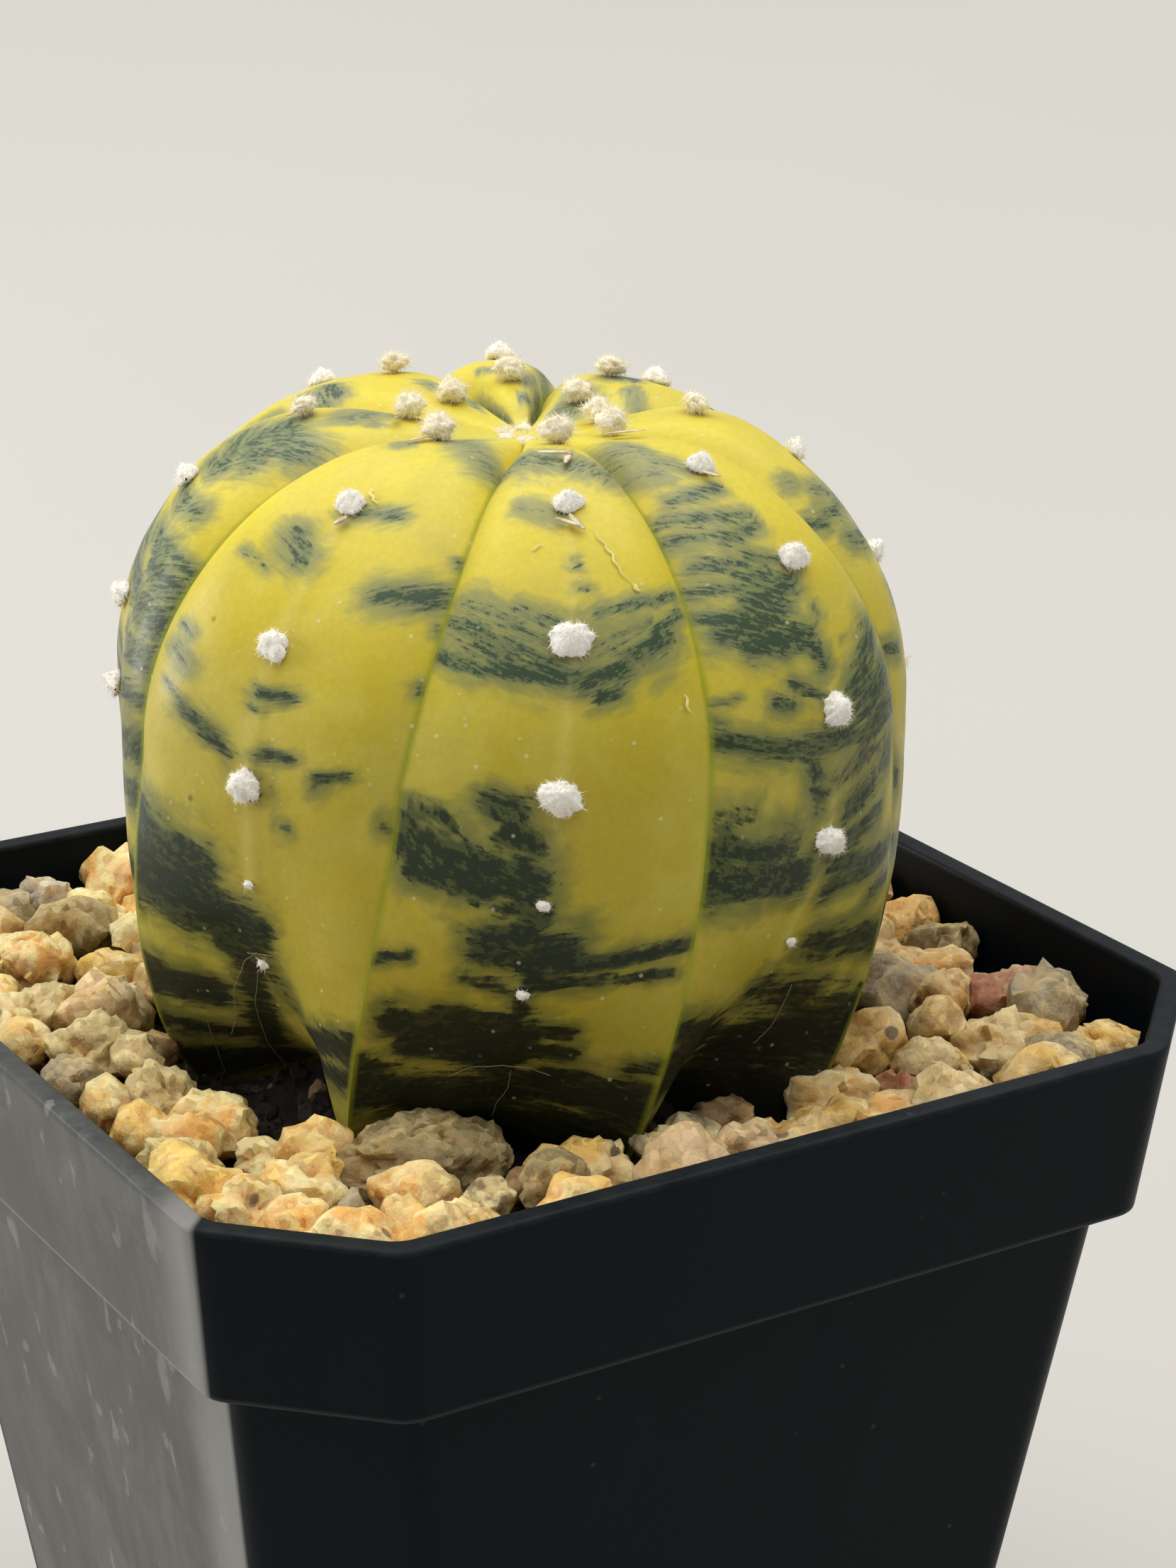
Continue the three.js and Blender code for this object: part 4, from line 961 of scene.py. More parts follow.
def fibre_tree():
    """Short tapered fibres that stand out of a woolly lump, joined to it."""
    tree, make, given, out = geometry_tree("Wool fibres", {
        "Per square metre": ("NodeSocketFloat", 1.0e7), "Length": ("NodeSocketFloat", 0.0008),
        "Width": ("NodeSocketFloat", 0.00005), "Tilt": ("NodeSocketFloat", 0.8),
        "Segments": ("NodeSocketInt", 2), "Bow": ("NodeSocketFloat", 0.4),
        "Seed": ("NodeSocketInt", 1), "Material": ("NodeSocketMaterial", None)})
    spread = make.add("GeometryNodeDistributePointsOnFaces", {
        "Mesh": given["Geometry"], "Density": given["Per square metre"], "Seed": given["Seed"]}).node
    radius = make.times(given["Width"], 0.5)
    cone = make.add("GeometryNodeMeshCone", {
        "Vertices": 3, "Side Segments": given["Segments"], "Radius Top": 0.0, "Radius Bottom": radius,
        "Depth": given["Length"]}, output="Mesh")
    height = make.axis(make.add("GeometryNodeInputPosition"), "Z")
    bow = make.times(make.math("DIVIDE", make.math("POWER", height, 2.0), given["Length"]), given["Bow"])
    offset = make.add("ShaderNodeCombineXYZ", {"X": bow})
    bowed = make.add("GeometryNodeSetPosition", {"Geometry": cone, "Offset": offset})
    tilt = make.add("ShaderNodeCombineXYZ", {"X": given["Tilt"], "Y": given["Tilt"], "Z": 3.14})
    less = make.add("ShaderNodeVectorMath", {0: tilt, "Scale": -1.0}, operation="SCALE")
    turn = make.add("FunctionNodeRandomValue", {"Min": less, "Max": tilt, "Seed": given["Seed"]},
                    data_type="FLOAT_VECTOR")
    turned = make.add("FunctionNodeRotateRotation", {
        "Rotation": spread.outputs["Rotation"], "Rotate By": turn}, rotation_space="LOCAL")
    size = make.add("FunctionNodeRandomValue", {2: 0.45, 3: 1.25, "Seed": given["Seed"]}, output=1,
                    data_type="FLOAT")
    placed = make.add("GeometryNodeInstanceOnPoints", {
        "Points": spread.outputs["Points"], "Instance": bowed, "Rotation": turned, "Scale": size})
    real = make.add("GeometryNodeRealizeInstances", {"Geometry": placed})
    both = make.add("GeometryNodeJoinGeometry")
    tree.links.new(given["Geometry"], both.node.inputs[0])
    tree.links.new(real, both.node.inputs[0])
    finished = make.add("GeometryNodeSetMaterial", {"Geometry": both, "Material": given["Material"]})
    make.feed(out["Geometry"], finished)
    return tree


def wool_material(name, colour, shade):
    """Chalky felted wool with painted shade: a little darker and warmer in blotches that stand for its
    hollows.
    """
    made, make, shader = material(name)
    place = make.coordinates()
    # Painted shade: blotches of the wool's darker, warmer shade colour
    hollow = make.blotches(place, 900.0, 0.4, 0.66)
    make.dress(shader, {
        "Base Color": make.mix(make.times(hollow, 0.45), rgba(colour), rgba(shade)),
        "Normal": make.bump(make.noise(place, 4200.0, detail=3.0), 0.0001, 0.6),
        "Roughness": 0.95, "Specular IOR Level": 0.15,
        "Subsurface Weight": 0.25, "Subsurface Radius": (1.0, 0.9, 0.75), "Subsurface Scale": 0.0006})
    return made


def make_wool():
    fibres = fibre_tree()
    lumps = tuft_lumps()
    groups = {
        "crown_wool": (True, wool_material("cream_wool", (0.99, 0.93, 0.77), (0.90, 0.74, 0.48)),
                       {"Per square metre": 4.4e7, "Length": 0.0006, "Width": 0.00004, "Tilt": 1.35,
                        "Segments": 2, "Bow": 0.7, "Seed": 4}),
        "side_wool": (False, wool_material("white_wool", (0.99, 0.96, 0.88), (0.86, 0.79, 0.68)),
                      {"Per square metre": 4.0e7, "Length": 0.0004, "Width": 0.00005, "Tilt": 1.45,
                       "Segments": 1, "Bow": 0.0, "Seed": 9}),
    }
    for name, (young, finish, values) in groups.items():
        own = [(points, faces, {}) for points, faces, is_young in lumps if is_young == young]
        wool = join_lumps(name, own)
        grow(wool, fibres, {**values, "Material": finish})
        settle(wool, "stem_skin", "stem")


def ribbon(points, outs, width, thickness):
    """A thin closed strip along points, tapered at both ends, laid flat to the outward directions."""
    points, outs = np.asarray(points, float), np.asarray(outs, float)
    tangent = np.gradient(points, axis=0)
    side = np.cross(tangent, outs)
    side /= np.linalg.norm(side, axis=1, keepdims=True)
    share = np.sin(np.pi * np.linspace(0.06, 0.97, len(points))) ** 0.7
    half = (side.T * share * width / 2).T
    lift = (outs.T * share * thickness / 2).T
    rings = np.stack([points - half, points - lift, points + half, points + lift], 1)
    faces = ring_faces(len(points), 4)
    last = (len(points) - 1) * 4
    faces += [(3, 2, 1, 0), (last, last + 1, last + 2, last + 3)]
    return rings.reshape(-1, 3), np.array(faces)


def make_scraps():
    """Dry papery scraps and old spines that stick to the wool near the crown."""
    draw = draws_from(33)
    strips = []
    for rib, across, angle, length, bearing in SCRAPS:
        foot, out, down, right = stem_place(rib, across, angle)
        way = math.cos(math.radians(bearing)) * down + math.sin(math.radians(bearing)) * right
        curl = 0.2 + 0.5 * next(draw)
        bend = (next(draw) - 0.5) * 0.6
        line, outs = [], []
        for share in np.linspace(0, 1, 9):
            along = share - 0.15
            across_way = np.cross(out, way) * bend * share * share
            lift = 0.25 + curl * share * length * 0.35
            line.append(foot + length * (way * along + across_way) + out * lift)
            outs.append(out + 0.4 * way * share)
        strips.append((*ribbon(line, outs, 0.34 + 0.2 * next(draw), 0.09), {}))
    scraps = join_lumps("crown_scraps", strips)
    made, make, shader = material("dry_scrap")
    tone = make.blotches(make.coordinates(), 700.0, 0.35, 0.65)
    make.dress(shader, {
        "Base Color": make.mix(tone, rgba((0.82, 0.74, 0.50)), rgba((0.55, 0.42, 0.22))), "Roughness": 0.6})
    scraps.data.materials.append(made)
    settle(scraps, "stem_skin", "stem")


def skin_path(places, per_place):
    """Even steps along places of one rib: the rib, the steps, and the place across and angle at each."""
    rows = np.array(places, float)
    steps = np.linspace(0, len(rows) - 1, per_place * len(rows))
    across, angle = [np.interp(steps, np.arange(len(rows)), rows[:, column]) for column in (1, 2)]
    return int(rows[0, 0]), steps, across, angle


def make_scratches():
    """Healed scratches: thin pale seams that lie in the skin."""
    strips = []
    for places, width in SCRATCHES:
        rib, steps, across, angle = skin_path(places, 6)
        across = across + 0.012 * np.sin(steps * 7.0)
        line = [stem_point(rib, a, t, 0.04) for a, t in zip(across, angle)]
        outs = [stem_place(rib, a, t)[1] for a, t in zip(across, angle)]
        strips.append((*ribbon(line, outs, width, 0.07), {}))
    seams = join_lumps("healed_scratches", strips)
    made, make, shader = material("pale_seam")
    tone = make.blotches(make.coordinates(), 1100.0, 0.35, 0.65)
    make.dress(shader, {
        "Base Color": make.mix(tone, rgba((0.82, 0.74, 0.30)), rgba((0.70, 0.60, 0.14))), "Roughness": 0.5})
    seams.data.shade_flat()
    seams.data.materials.append(made)
    settle(seams, "stem_skin", "stem")


def thread_tree():
    """Round threads along the edges of a mesh."""
    tree, make, given, out = geometry_tree("Threads", {
        "Diameter": ("NodeSocketFloat", 0.00006), "Material": ("NodeSocketMaterial", None)})
    line = make.add("GeometryNodeMeshToCurve", {"Mesh": given["Geometry"]})
    radius = make.times(given["Diameter"], 0.5)
    circle = make.add("GeometryNodeCurvePrimitiveCircle", {"Resolution": 5, "Radius": radius})
    tube = make.add("GeometryNodeCurveToMesh", {"Curve": line, "Profile Curve": circle, "Fill Caps": True})
    real = make.add("GeometryNodeRealizeInstances", {"Geometry": tube})
    finished = make.add("GeometryNodeSetMaterial", {"Geometry": real, "Material": given["Material"]})
    make.feed(out["Geometry"], finished)
    return tree


def make_threads():
    """Single fine threads that cling to the lower skin, a little wavy."""
    points, edges = [], []
    draw = draws_from(41)
    for places in THREADS:
        rib, steps, across, angle = skin_path(places, 8)
        wobble = np.array([next(draw) - 0.5 for _ in steps])
        wobble = np.convolve(wobble, [0.25, 0.5, 0.25], "same")
        line = stem_point(rib, across + 0.012 * wobble, angle, 0.12 + 0.2 * np.abs(wobble))
        start = len(points)
        points.extend(line)
        edges.extend((start + index, start + index + 1) for index in range(len(line) - 1))
    mesh = bpy.data.meshes.new("threads")
    mesh.from_pydata((np.array(points) * MM).tolist(), edges, [])
    threads = new_object("skin_threads", mesh)
    made, make, shader = material("pale_thread")
    make.dress(shader, {"Base Color": rgba((0.24, 0.23, 0.15)), "Roughness": 0.7})
    grow(threads, thread_tree(), {"Diameter": 0.00005, "Material": made})
    settle(threads, "stem_skin", "stem")


def inwards(inset, cut, distance):
    """The same ring of the pot moved inwards, parallel to its sides and corner cuts."""
    return inset + distance, cut - distance * (2 - math.sqrt(2))


def body_inset(z):
    """How far in from the rim the tapered body's outside is at a height."""
    return BODY_TOP_INSET + (BAND_BOTTOM - z) * BODY_SLOPE


INSIDE = [
    (*inwards(body_inset(FLOOR_THICKNESS), BODY_CUT, BODY_WALL), FLOOR_THICKNESS),
    (*inwards(BODY_TOP_INSET, BODY_CUT, BODY_WALL), BAND_BOTTOM),
    (*inwards(BAND_TAPER, BAND_FOOT_CUT, RIM_WALL), BAND_BOTTOM + LEDGE),
    (*inwards(0, CORNER_CUT, RIM_WALL), POT_HEIGHT),
]


def inside_at(z):
    """Inset and corner cut of the pot's inside wall at a height."""
    heights = [ring[2] for ring in INSIDE]
    above = min(max(int(np.searchsorted(heights, z, side="right")), 1), len(INSIDE) - 1)
    lower, upper = INSIDE[above - 1], INSIDE[above]
    share = (z - lower[2]) / (upper[2] - lower[2])
    return lower[0] + share * (upper[0] - lower[0]), lower[1] + share * (upper[1] - lower[1])


def corner_bend(before, corner, after, t):
    """The point at share t of the smooth bend round a corner."""
    return before * (1 - t) ** 2 + corner * 2 * t * (1 - t) + after * t ** 2


def pot_ring(inset, cut, z, steps=6):
    """A square with cut corners: bends as smooth curves, with a support point beside each."""
    half = POT_WIDTH / 2 - inset
    short = CORNER_ROUND * math.tan(math.pi / 8)
    support = 0.3
    ring = []
    for corner in range(4):
        turn = Matrix.Rotation(corner * math.pi / 2, 2)
        for index, end in enumerate([Vector((half, half - cut)), Vector((half - cut, half))]):
            into = Vector((math.cos(math.radians(90 + 45 * index)), math.sin(math.radians(90 + 45 * index))))
            on = Vector((math.cos(math.radians(135 + 45 * index)), math.sin(math.radians(135 + 45 * index))))
            before, after = end - into * short, end + on * short
            bend = [before - into * support]
            bend += [corner_bend(before, end, after, step / steps) for step in range(steps + 1)]
            bend.append(after + on * support)
            for point in bend:
                x, y = turn @ point
                ring.append((x, y, z))
    return ring


def rounded_profile(corners, steps=4, support=0.25):
    """Rings through corners (inset, cut, z, radius), each corner rounded, with support rings beside it."""
    rows = [np.array(corner[:3], float) for corner in corners]
    profile = []
    for index, point in enumerate(rows):
        before = rows[index - 1] if index else point + [1.0, 0, 0]
        after = rows[index + 1] if index + 1 < len(rows) else point + [1.0, 0, 0]
        radius = corners[index][3]
        back, on = before - point, after - point
        back /= math.hypot(back[0], back[2])
        on /= math.hypot(on[0], on[2])
        start, end = point + back * radius, point + on * radius
        profile.append(point + back * (radius + support))
        profile += [corner_bend(start, point, end, step / steps) for step in range(steps + 1)]
        profile.append(point + on * (radius + support))
    return profile


def make_pot():
    """The pot's shell: one closed profile up its outside and down its inside, with its drains drilled."""
    corners = [
        (body_inset(0), BODY_CUT, 0, 0.8),
        (BODY_TOP_INSET, BODY_CUT, BAND_BOTTOM + LEDGE_FALL, 0.3),
        (BAND_TAPER, BAND_FOOT_CUT, BAND_BOTTOM, 0.35),
        (0, CORNER_CUT, POT_HEIGHT, 0.45),
        (*INSIDE[3], 0.4),
        (*INSIDE[2], 0.4),
        (*INSIDE[1], 0.3),
        (*INSIDE[0], 0.6),
    ]
    profile = rounded_profile(corners)
    rings = [pot_ring(*row) for row in profile]
    points = [point for ring in rings for point in ring] + [(0, 0, 0), (0, 0, FLOOR_THICKNESS)]
    pot = mesh_object("pot_shell", points, capped_faces(len(rings), len(rings[0])))
    for index, (x, y, width) in enumerate(DRAINS):
        drill = mesh_object(f"drill_{index}", *drain_drill(x, y, width))
        cut = pot.modifiers.new(f"drain_{index}", "BOOLEAN")
        cut.operation, cut.solver, cut.object = "DIFFERENCE", "EXACT", drill
    plain_mesh(pot)
    for drill in [thing for thing in bpy.data.objects if thing.name.startswith("drill_")]:
        bpy.data.objects.remove(drill)
    pot.data.shade_smooth()
    pot.data.set_sharp_from_angle(angle=math.radians(50))
    pot.data.materials.append(pot_material())
    settle(pot, "pot_plastic", "pot")


def drain_drill(x, y, width):
    """Points and faces of a round drill through the pot's floor, a little longer than it is thick."""
    turns = np.linspace(0, 2 * np.pi, DRILL_SIDES, endpoint=False)
    round_x, round_y = x + width / 2 * np.cos(turns), y + width / 2 * np.sin(turns)
    low, high = -DRILL_SPARE, FLOOR_THICKNESS + DRILL_SPARE
    rings = [np.stack([round_x, round_y, np.full(DRILL_SIDES, z)], -1) for z in (low, high)]
    return np.concatenate([*rings, [[x, y, low]], [[x, y, high]]]), capped_faces(2, DRILL_SIDES)


def pot_material():
    """Matt black moulded plastic with fine grain, dust and dried water marks. Light is painted in as well:
    thin highlights along the band's foot and the near corner, a lip made lighter both by wear and as painted
    light, and glare over the left face that is partly dried residue.
    """
    made, make, shader = material("black_plastic")
    place = make.coordinates()
    grain = make.noise(place, 2600.0, detail=2.0)
    haze = make.blotches(make.scaled(place, 1.0, 1.0, 0.35), 90.0, 0.45, 0.72)
    x_side = make.axis(place, "X")
    y_side = make.math("ABSOLUTE", make.axis(place, "Y"))
    left = make.fade(make.math("ADD", x_side, y_side), -0.0086, -0.0094)
    up = make.axis(place, "Z")
    warp = make.add("ShaderNodeTexNoise", {"Vector": place, "Scale": 420.0, "Detail": 4.0}, output="Color")
    shift = make.add("ShaderNodeVectorMath", {0: warp, "Scale": 0.0026}, operation="SCALE")
    wavy = make.add("ShaderNodeVectorMath", {0: make.scaled(place, 1.0, 1.0, 0.4), 1: shift}, operation="ADD")
    drops = make.specks(wavy, 520.0, 0.34, 0.26)
    wide_drops = make.specks(wavy, 190.0, 0.16, 0.2)
    clouds = make.noise(make.scaled(place, 1.0, 1.0, 0.7), 130.0, detail=7.0, roughness=0.72, distortion=0.8)
    streaks = make.noise(make.scaled(place, 1.0, 1.0, 0.2), 500.0, detail=4.0, roughness=0.65)
    wide_clouds = make.fade(clouds, 0.4, 0.72, 0.0, 0.4)
    cloudy = make.math("MULTIPLY_ADD", make.fade(streaks, 0.45, 0.75), 0.22, wide_clouds)
    spots = make.math("MAXIMUM", make.times(drops, 0.45), make.times(wide_drops, 0.5))
    marks = make.times(make.math("ADD", spots, make.times(cloudy, 0.6)), left, clamp=True)
    in_band = make.fade(up, (BAND_BOTTOM - 0.6) * MM, (BAND_BOTTOM + 0.6) * MM)
    # Painted glare: the left face is made much lighter in a band towards the near corner
    to_near = make.math("SUBTRACT", x_side, make.axis(place, "Y"))
    reach = make.math("MULTIPLY_ADD", in_band, -0.0012, to_near)
    corner_glare_mask = make.times(make.fade(reach, -0.0165, -0.0112), make.times(left, 0.62))
    # Painted highlight: a thin lighter line along the foot of the band
    foot_highlight_mask = make.fade(make.math("ABSOLUTE", make.math("SUBTRACT", up, (BAND_BOTTOM + 0.12) * MM)),
                          0.00045, 0.00012, 0.0, 0.7)
    # Painted highlight: a thin lighter line along the edges between the left face and its cut corners
    corner_highlight_mask = make.fade(make.math("ABSOLUTE", make.math("ADD", make.math("ADD", x_side, y_side), 0.009)),
                            0.0004, 0.0001, 0.0, 0.5)
    lip = make.fade(up, (POT_HEIGHT - 0.9) * MM, (POT_HEIGHT - 0.1) * MM, 1.0, 0.5)
    dust = make.specks(place, 640.0, 0.05, 0.16)
    tone = make.mix(make.times(haze, 0.6), rgba((0.0016, 0.0040, 0.0064)), rgba((0.0045, 0.0075, 0.0105)))
    edged = make.mix(foot_highlight_mask, tone, rgba((0.034, 0.038, 0.042)))
    # Wear and painted light together: the top of the lip, which looks up to the light, is made lighter in
    # noisy worn patches
    worn_and_lit_lip = make.times(make.fade(lip, 0.5, 0.75, 0.4, 0.0), make.noise(place, 700.0, detail=4.0))
    edged = make.mix(worn_and_lit_lip, edged, rgba((0.05, 0.054, 0.058)))
    # Partly dried residue and partly painted glare: the left face below the lip is coated a pale grey
    glare_and_residue_mask = make.times(make.times(left, lip), make.fade(haze, 0.0, 1.0, 0.72, 0.95))
    glare_and_residue = make.mix(glare_and_residue_mask, edged, rgba((0.132, 0.13, 0.122)))
    # Painted highlight: the line along the band's foot, much lighter on the left face
    foot_highlit = make.mix(make.times(foot_highlight_mask, left), glare_and_residue, rgba((0.25, 0.245, 0.23)))
    corner_highlit = make.mix(corner_highlight_mask, foot_highlit, rgba((0.05, 0.052, 0.054)))
    corner_glared = make.mix(corner_glare_mask, corner_highlit, rgba((0.30, 0.295, 0.28)))
    marked = make.mix(make.times(marks, 0.7), corner_glared, rgba((0.34, 0.335, 0.315)))
    dusted = make.mix(make.times(dust, 0.2), marked, rgba((0.12, 0.115, 0.10)))
    make.dress(shader, {
        "Base Color": dusted, "Roughness": make.fade(haze, 0.0, 1.0, 0.42, 0.55),
        "Normal": make.bump(grain, 0.00004, 0.4), "Specular IOR Level": 0.08})
    return made


def soil_material():
    """Dark crumbly soil with paler grains."""
    made, make, shader = material("dark_soil")
    place = make.coordinates()
    crumbs = make.cells(place, 900.0)
    tone = make.ramp(crumbs, [(0.0, (0.016, 0.008, 0.005)), (0.5, (0.007, 0.004, 0.0025)),
                              (1.0, (0.003, 0.002, 0.001))])
    grains = make.specks(place, 1100.0, 0.12, 0.3)
    make.dress(shader, {
        "Base Color": make.mix(grains, tone, rgba((0.16, 0.10, 0.055))),
        "Normal": make.bump(make.noise(place, 1400.0, detail=5.0), 0.0004, 1.0), "Roughness": 0.95})
    return made


def grit_level(x, y):
    """Middle height of the stones of the top layer at a place."""
    return GRIT_MIDDLE + GRIT_ALONG_X * x + GRIT_ALONG_Y * y


def wall_reach(bearing, inset, cut):
    """How far the pot's inside wall is from the root's axis along each bearing."""
    half = POT_WIDTH / 2 - inset
    ways = np.stack([np.cos(bearing), np.sin(bearing)], -1)
    reach = np.full(len(bearing), 1e9)
    normals = [(1, 0, half), (-1, 0, half), (0, 1, half), (0, -1, half)]
    diagonal = (2 * half - cut) * math.sqrt(0.5)
    normals += [(a * math.sqrt(0.5), b * math.sqrt(0.5), diagonal) for a in (1, -1) for b in (1, -1)]
    for nx, ny, distance in normals:
        facing = ways @ np.array([nx, ny])
        room = distance - nx * ROOT_X - ny * ROOT_Y
        reach = np.where(facing > 1e-3, np.minimum(reach, room / np.maximum(facing, 1e-3)), reach)
    return reach


def make_bed(soil):
    """The soil and fine grit under the stones, with a socket for the stem."""
    rib, across = ring_of_ribs(BED_ACROSS)
    socket = [stem_point(rib, across, angle, STEM_GAP) for angle in SOCKET_ANGLES]
    bearing = root_bearing(socket[0])
    rings = [root_ring(bearing, SOCKET_RADIUS, z) for z in (BED_LOW + SOCKET_DISH, BED_LOW)]
    inset, cut = inside_at(BED_LOW)
    rings.append(root_ring(bearing, wall_reach(bearing, inset + WALL_GAP, cut), BED_LOW))
    inset, cut = inside_at(BED_EDGE + 1.0)
    reach = wall_reach(bearing, inset + WALL_GAP, cut)
    rings.append(root_ring(bearing, reach, BED_EDGE))
    inner = socket[-1]
    inner_radius = np.hypot(inner[:, 0] - ROOT_X, inner[:, 1] - ROOT_Y)
    for share in np.linspace(0, 1, BED_RINGS + 1)[:-1]:
        ring = root_ring(bearing, reach + (inner_radius - reach) * share, 0.0)
        level = grit_level(ring[:, 0], ring[:, 1]) - BED_BELOW
        level += 0.7 * field_noise(ring, 0.35, 4) + 0.4 * field_noise(ring, 1.1, 6)
        ring[:, 2] = level + (inner[:, 2] - level) * smoothstep(share, 0.8, 1)
        rings.append(ring)
    rings += socket[::-1]
    faces = ring_faces(len(rings), len(bearing), loop=True)
    bed = mesh_object("grit_bed", np.concatenate(rings), faces)
    bed.data.materials.append(soil)
    return bed


def room_inside(x, y, z):
    """How far a point is from the pot's nearest inside wall, below zero when it is beyond it."""
    inset, cut = inside_at(min(z, POT_HEIGHT))
    half = POT_WIDTH / 2 - inset
    to_cut = (2 * half - cut - abs(x) - abs(y)) * math.sqrt(0.5)
    return min(half - abs(x), half - abs(y), to_cut)


def grit_stones():
    """Place, size, turn and kind of every stone of the top layer, as the part's source sets them."""
    stones = []
    for x, y, top, length, width, thickness, turn, kind in PLACED_STONES:
        stones.append((x, y, top - thickness / 2, (length, width, thickness), math.radians(turn), kind))
    draw = draws_from(SCATTER_SEED)
    for attempt in range(SCATTER_TRIES):
        done = attempt / SCATTER_TRIES
        x = (next(draw) - 0.5) * POT_WIDTH
        y = (next(draw) - 0.5) * POT_WIDTH
        span = SCATTER_LARGEST + (SCATTER_SMALLEST - SCATTER_LARGEST) * done + (next(draw) - 0.5)
        stretch = 0.8 + 0.4 * next(draw)
        flat = 0.7 + 0.25 * next(draw)
        rise = (next(draw) - 0.5) * STONE_RISE
        turn = next(draw) * 2 * math.pi
        z = grit_level(x, y) + rise
        from_stem = math.hypot(x - ROOT_X, y - ROOT_Y) - STEM_FOOT_RADIUS
        if any(math.hypot(x - other[0], y - other[1]) < SCATTER_CLOSEST * (span + other[3][0]) / 2
               for other in stones):
            continue
        if from_stem < span * 0.1 or room_inside(x, y, z) < span * 0.38:
            continue
        kind = SCATTER_KINDS[len(stones) % len(SCATTER_KINDS)]
        stones.append((x, y, z, (span * stretch, span / stretch, span * flat), turn, kind))
    return stones


def crystal_faces(points, scale, tilt, seed):
    """Height of small flat faces, each tilted its own way, as where a stone broke along its crystals."""
    shift = Vector((seed * 1.7, seed * 0.9, seed * 2.3))
    heights = np.empty(len(points))
    for index, point in enumerate(points):
        place = Vector(point) * scale + shift
        centre = noise.voronoi(place)[1][0]
        heights[index] = (place - centre).dot(noise.cell_vector(centre * 8) * 2 - Vector((1, 1, 1)))
    return heights * tilt / scale


def stone_lump(stone, draw, seed, level):
    """One stone: an egg with flat faces split off it, their edges a little worn, and a crystalline skin."""
    x, y, z, size, turn, kind = stone
    directions, faces = BALLS[level]
    inverse = np.full(len(directions), 1.12 ** -STONE_SHARPNESS)
    for _ in range(STONE_CUTS):
        height = 2 * next(draw) - 1
        bearing = 2 * math.pi * next(draw)
        depth = 0.72 + 0.26 * next(draw)
        side = math.sqrt(1 - height * height)
        facing = directions @ np.array([side * math.cos(bearing), side * math.sin(bearing), height])
        inverse += np.where(facing > 0.1, (np.maximum(facing, 0.1) / depth) ** STONE_SHARPNESS, 0)
    reach = inverse ** (-1 / STONE_SHARPNESS)
    body = directions * reach[:, None] * np.array(size) / 2
    push = crystal_faces(body, 0.4, 0.34, seed) + crystal_faces(body, 0.95, 0.26, seed + 0.5)
    push += 0.14 * field_noise(body, 0.9, seed) + 0.13 * field_noise(body, 2.4, seed)
    body = body * 0.97 + directions * push[:, None] * min(1.0, size[0] / 5.5)
    cosine, sine = math.cos(turn), math.sin(turn)
    turned = body @ np.array([[cosine, sine, 0], [-sine, cosine, 0], [0, 0, 1]])
    points = keep_in_pot(turned + np.array([x, y, z]))
    main, second = STONE_KINDS[kind]
    # Painted light: the stone's colours are scaled lighter to the left and back and darker to the right
    painted_light = float(np.clip(0.9 + PAINTED_LIGHT_ALONG_X * x + PAINTED_LIGHT_ALONG_Y * y, 0.72, 1.03))
    main, second = [tuple(painted_light * part for part in colour) for colour in (main, second)]
    # How deep each point lies in a crevice, for the painted shade there
    deep = np.clip(0.5 - push / 0.5, 0, 1)
    return points, faces, {"tint": rgba(main), "stain_tint": rgba(second), "deep": deep}


def keep_in_pot(points):
    """Moves points that would cross the pot's inside wall back to it, a small gap clear."""
    for index, (x, y, z) in enumerate(points):
        room = room_inside(x, y, z) - WALL_GAP
        if room < 0:
            away = max(abs(x), abs(y), 1e-6)
            points[index, 0] *= 1 + room / away
            points[index, 1] *= 1 + room / away
    return points


def make_stones():
    """The stones in two pieces, those placed one by one and the scattered rest, the large ones finer."""
    draw = draws_from(SCATTER_SEED + 1)
    front, back = [], []
    stones = grit_stones()
    for index, stone in enumerate(stones):
        placed = index < len(PLACED_STONES)
        level = 5 if placed and stone[3][0] > 10 else 4 if placed and stone[3][0] >= 4.4 else 3
        lump = stone_lump(stone, draw, index + 1, level)
        (front if placed else back).append(lump)
    finish = stone_material()
    for name, lumps in (("grit_near", front), ("grit_far", back)):
        pieces = join_lumps(name, lumps, smooth_angle=55)
        pieces.data.materials.append(finish)
        settle(pieces, "quartz_grit", "grit")


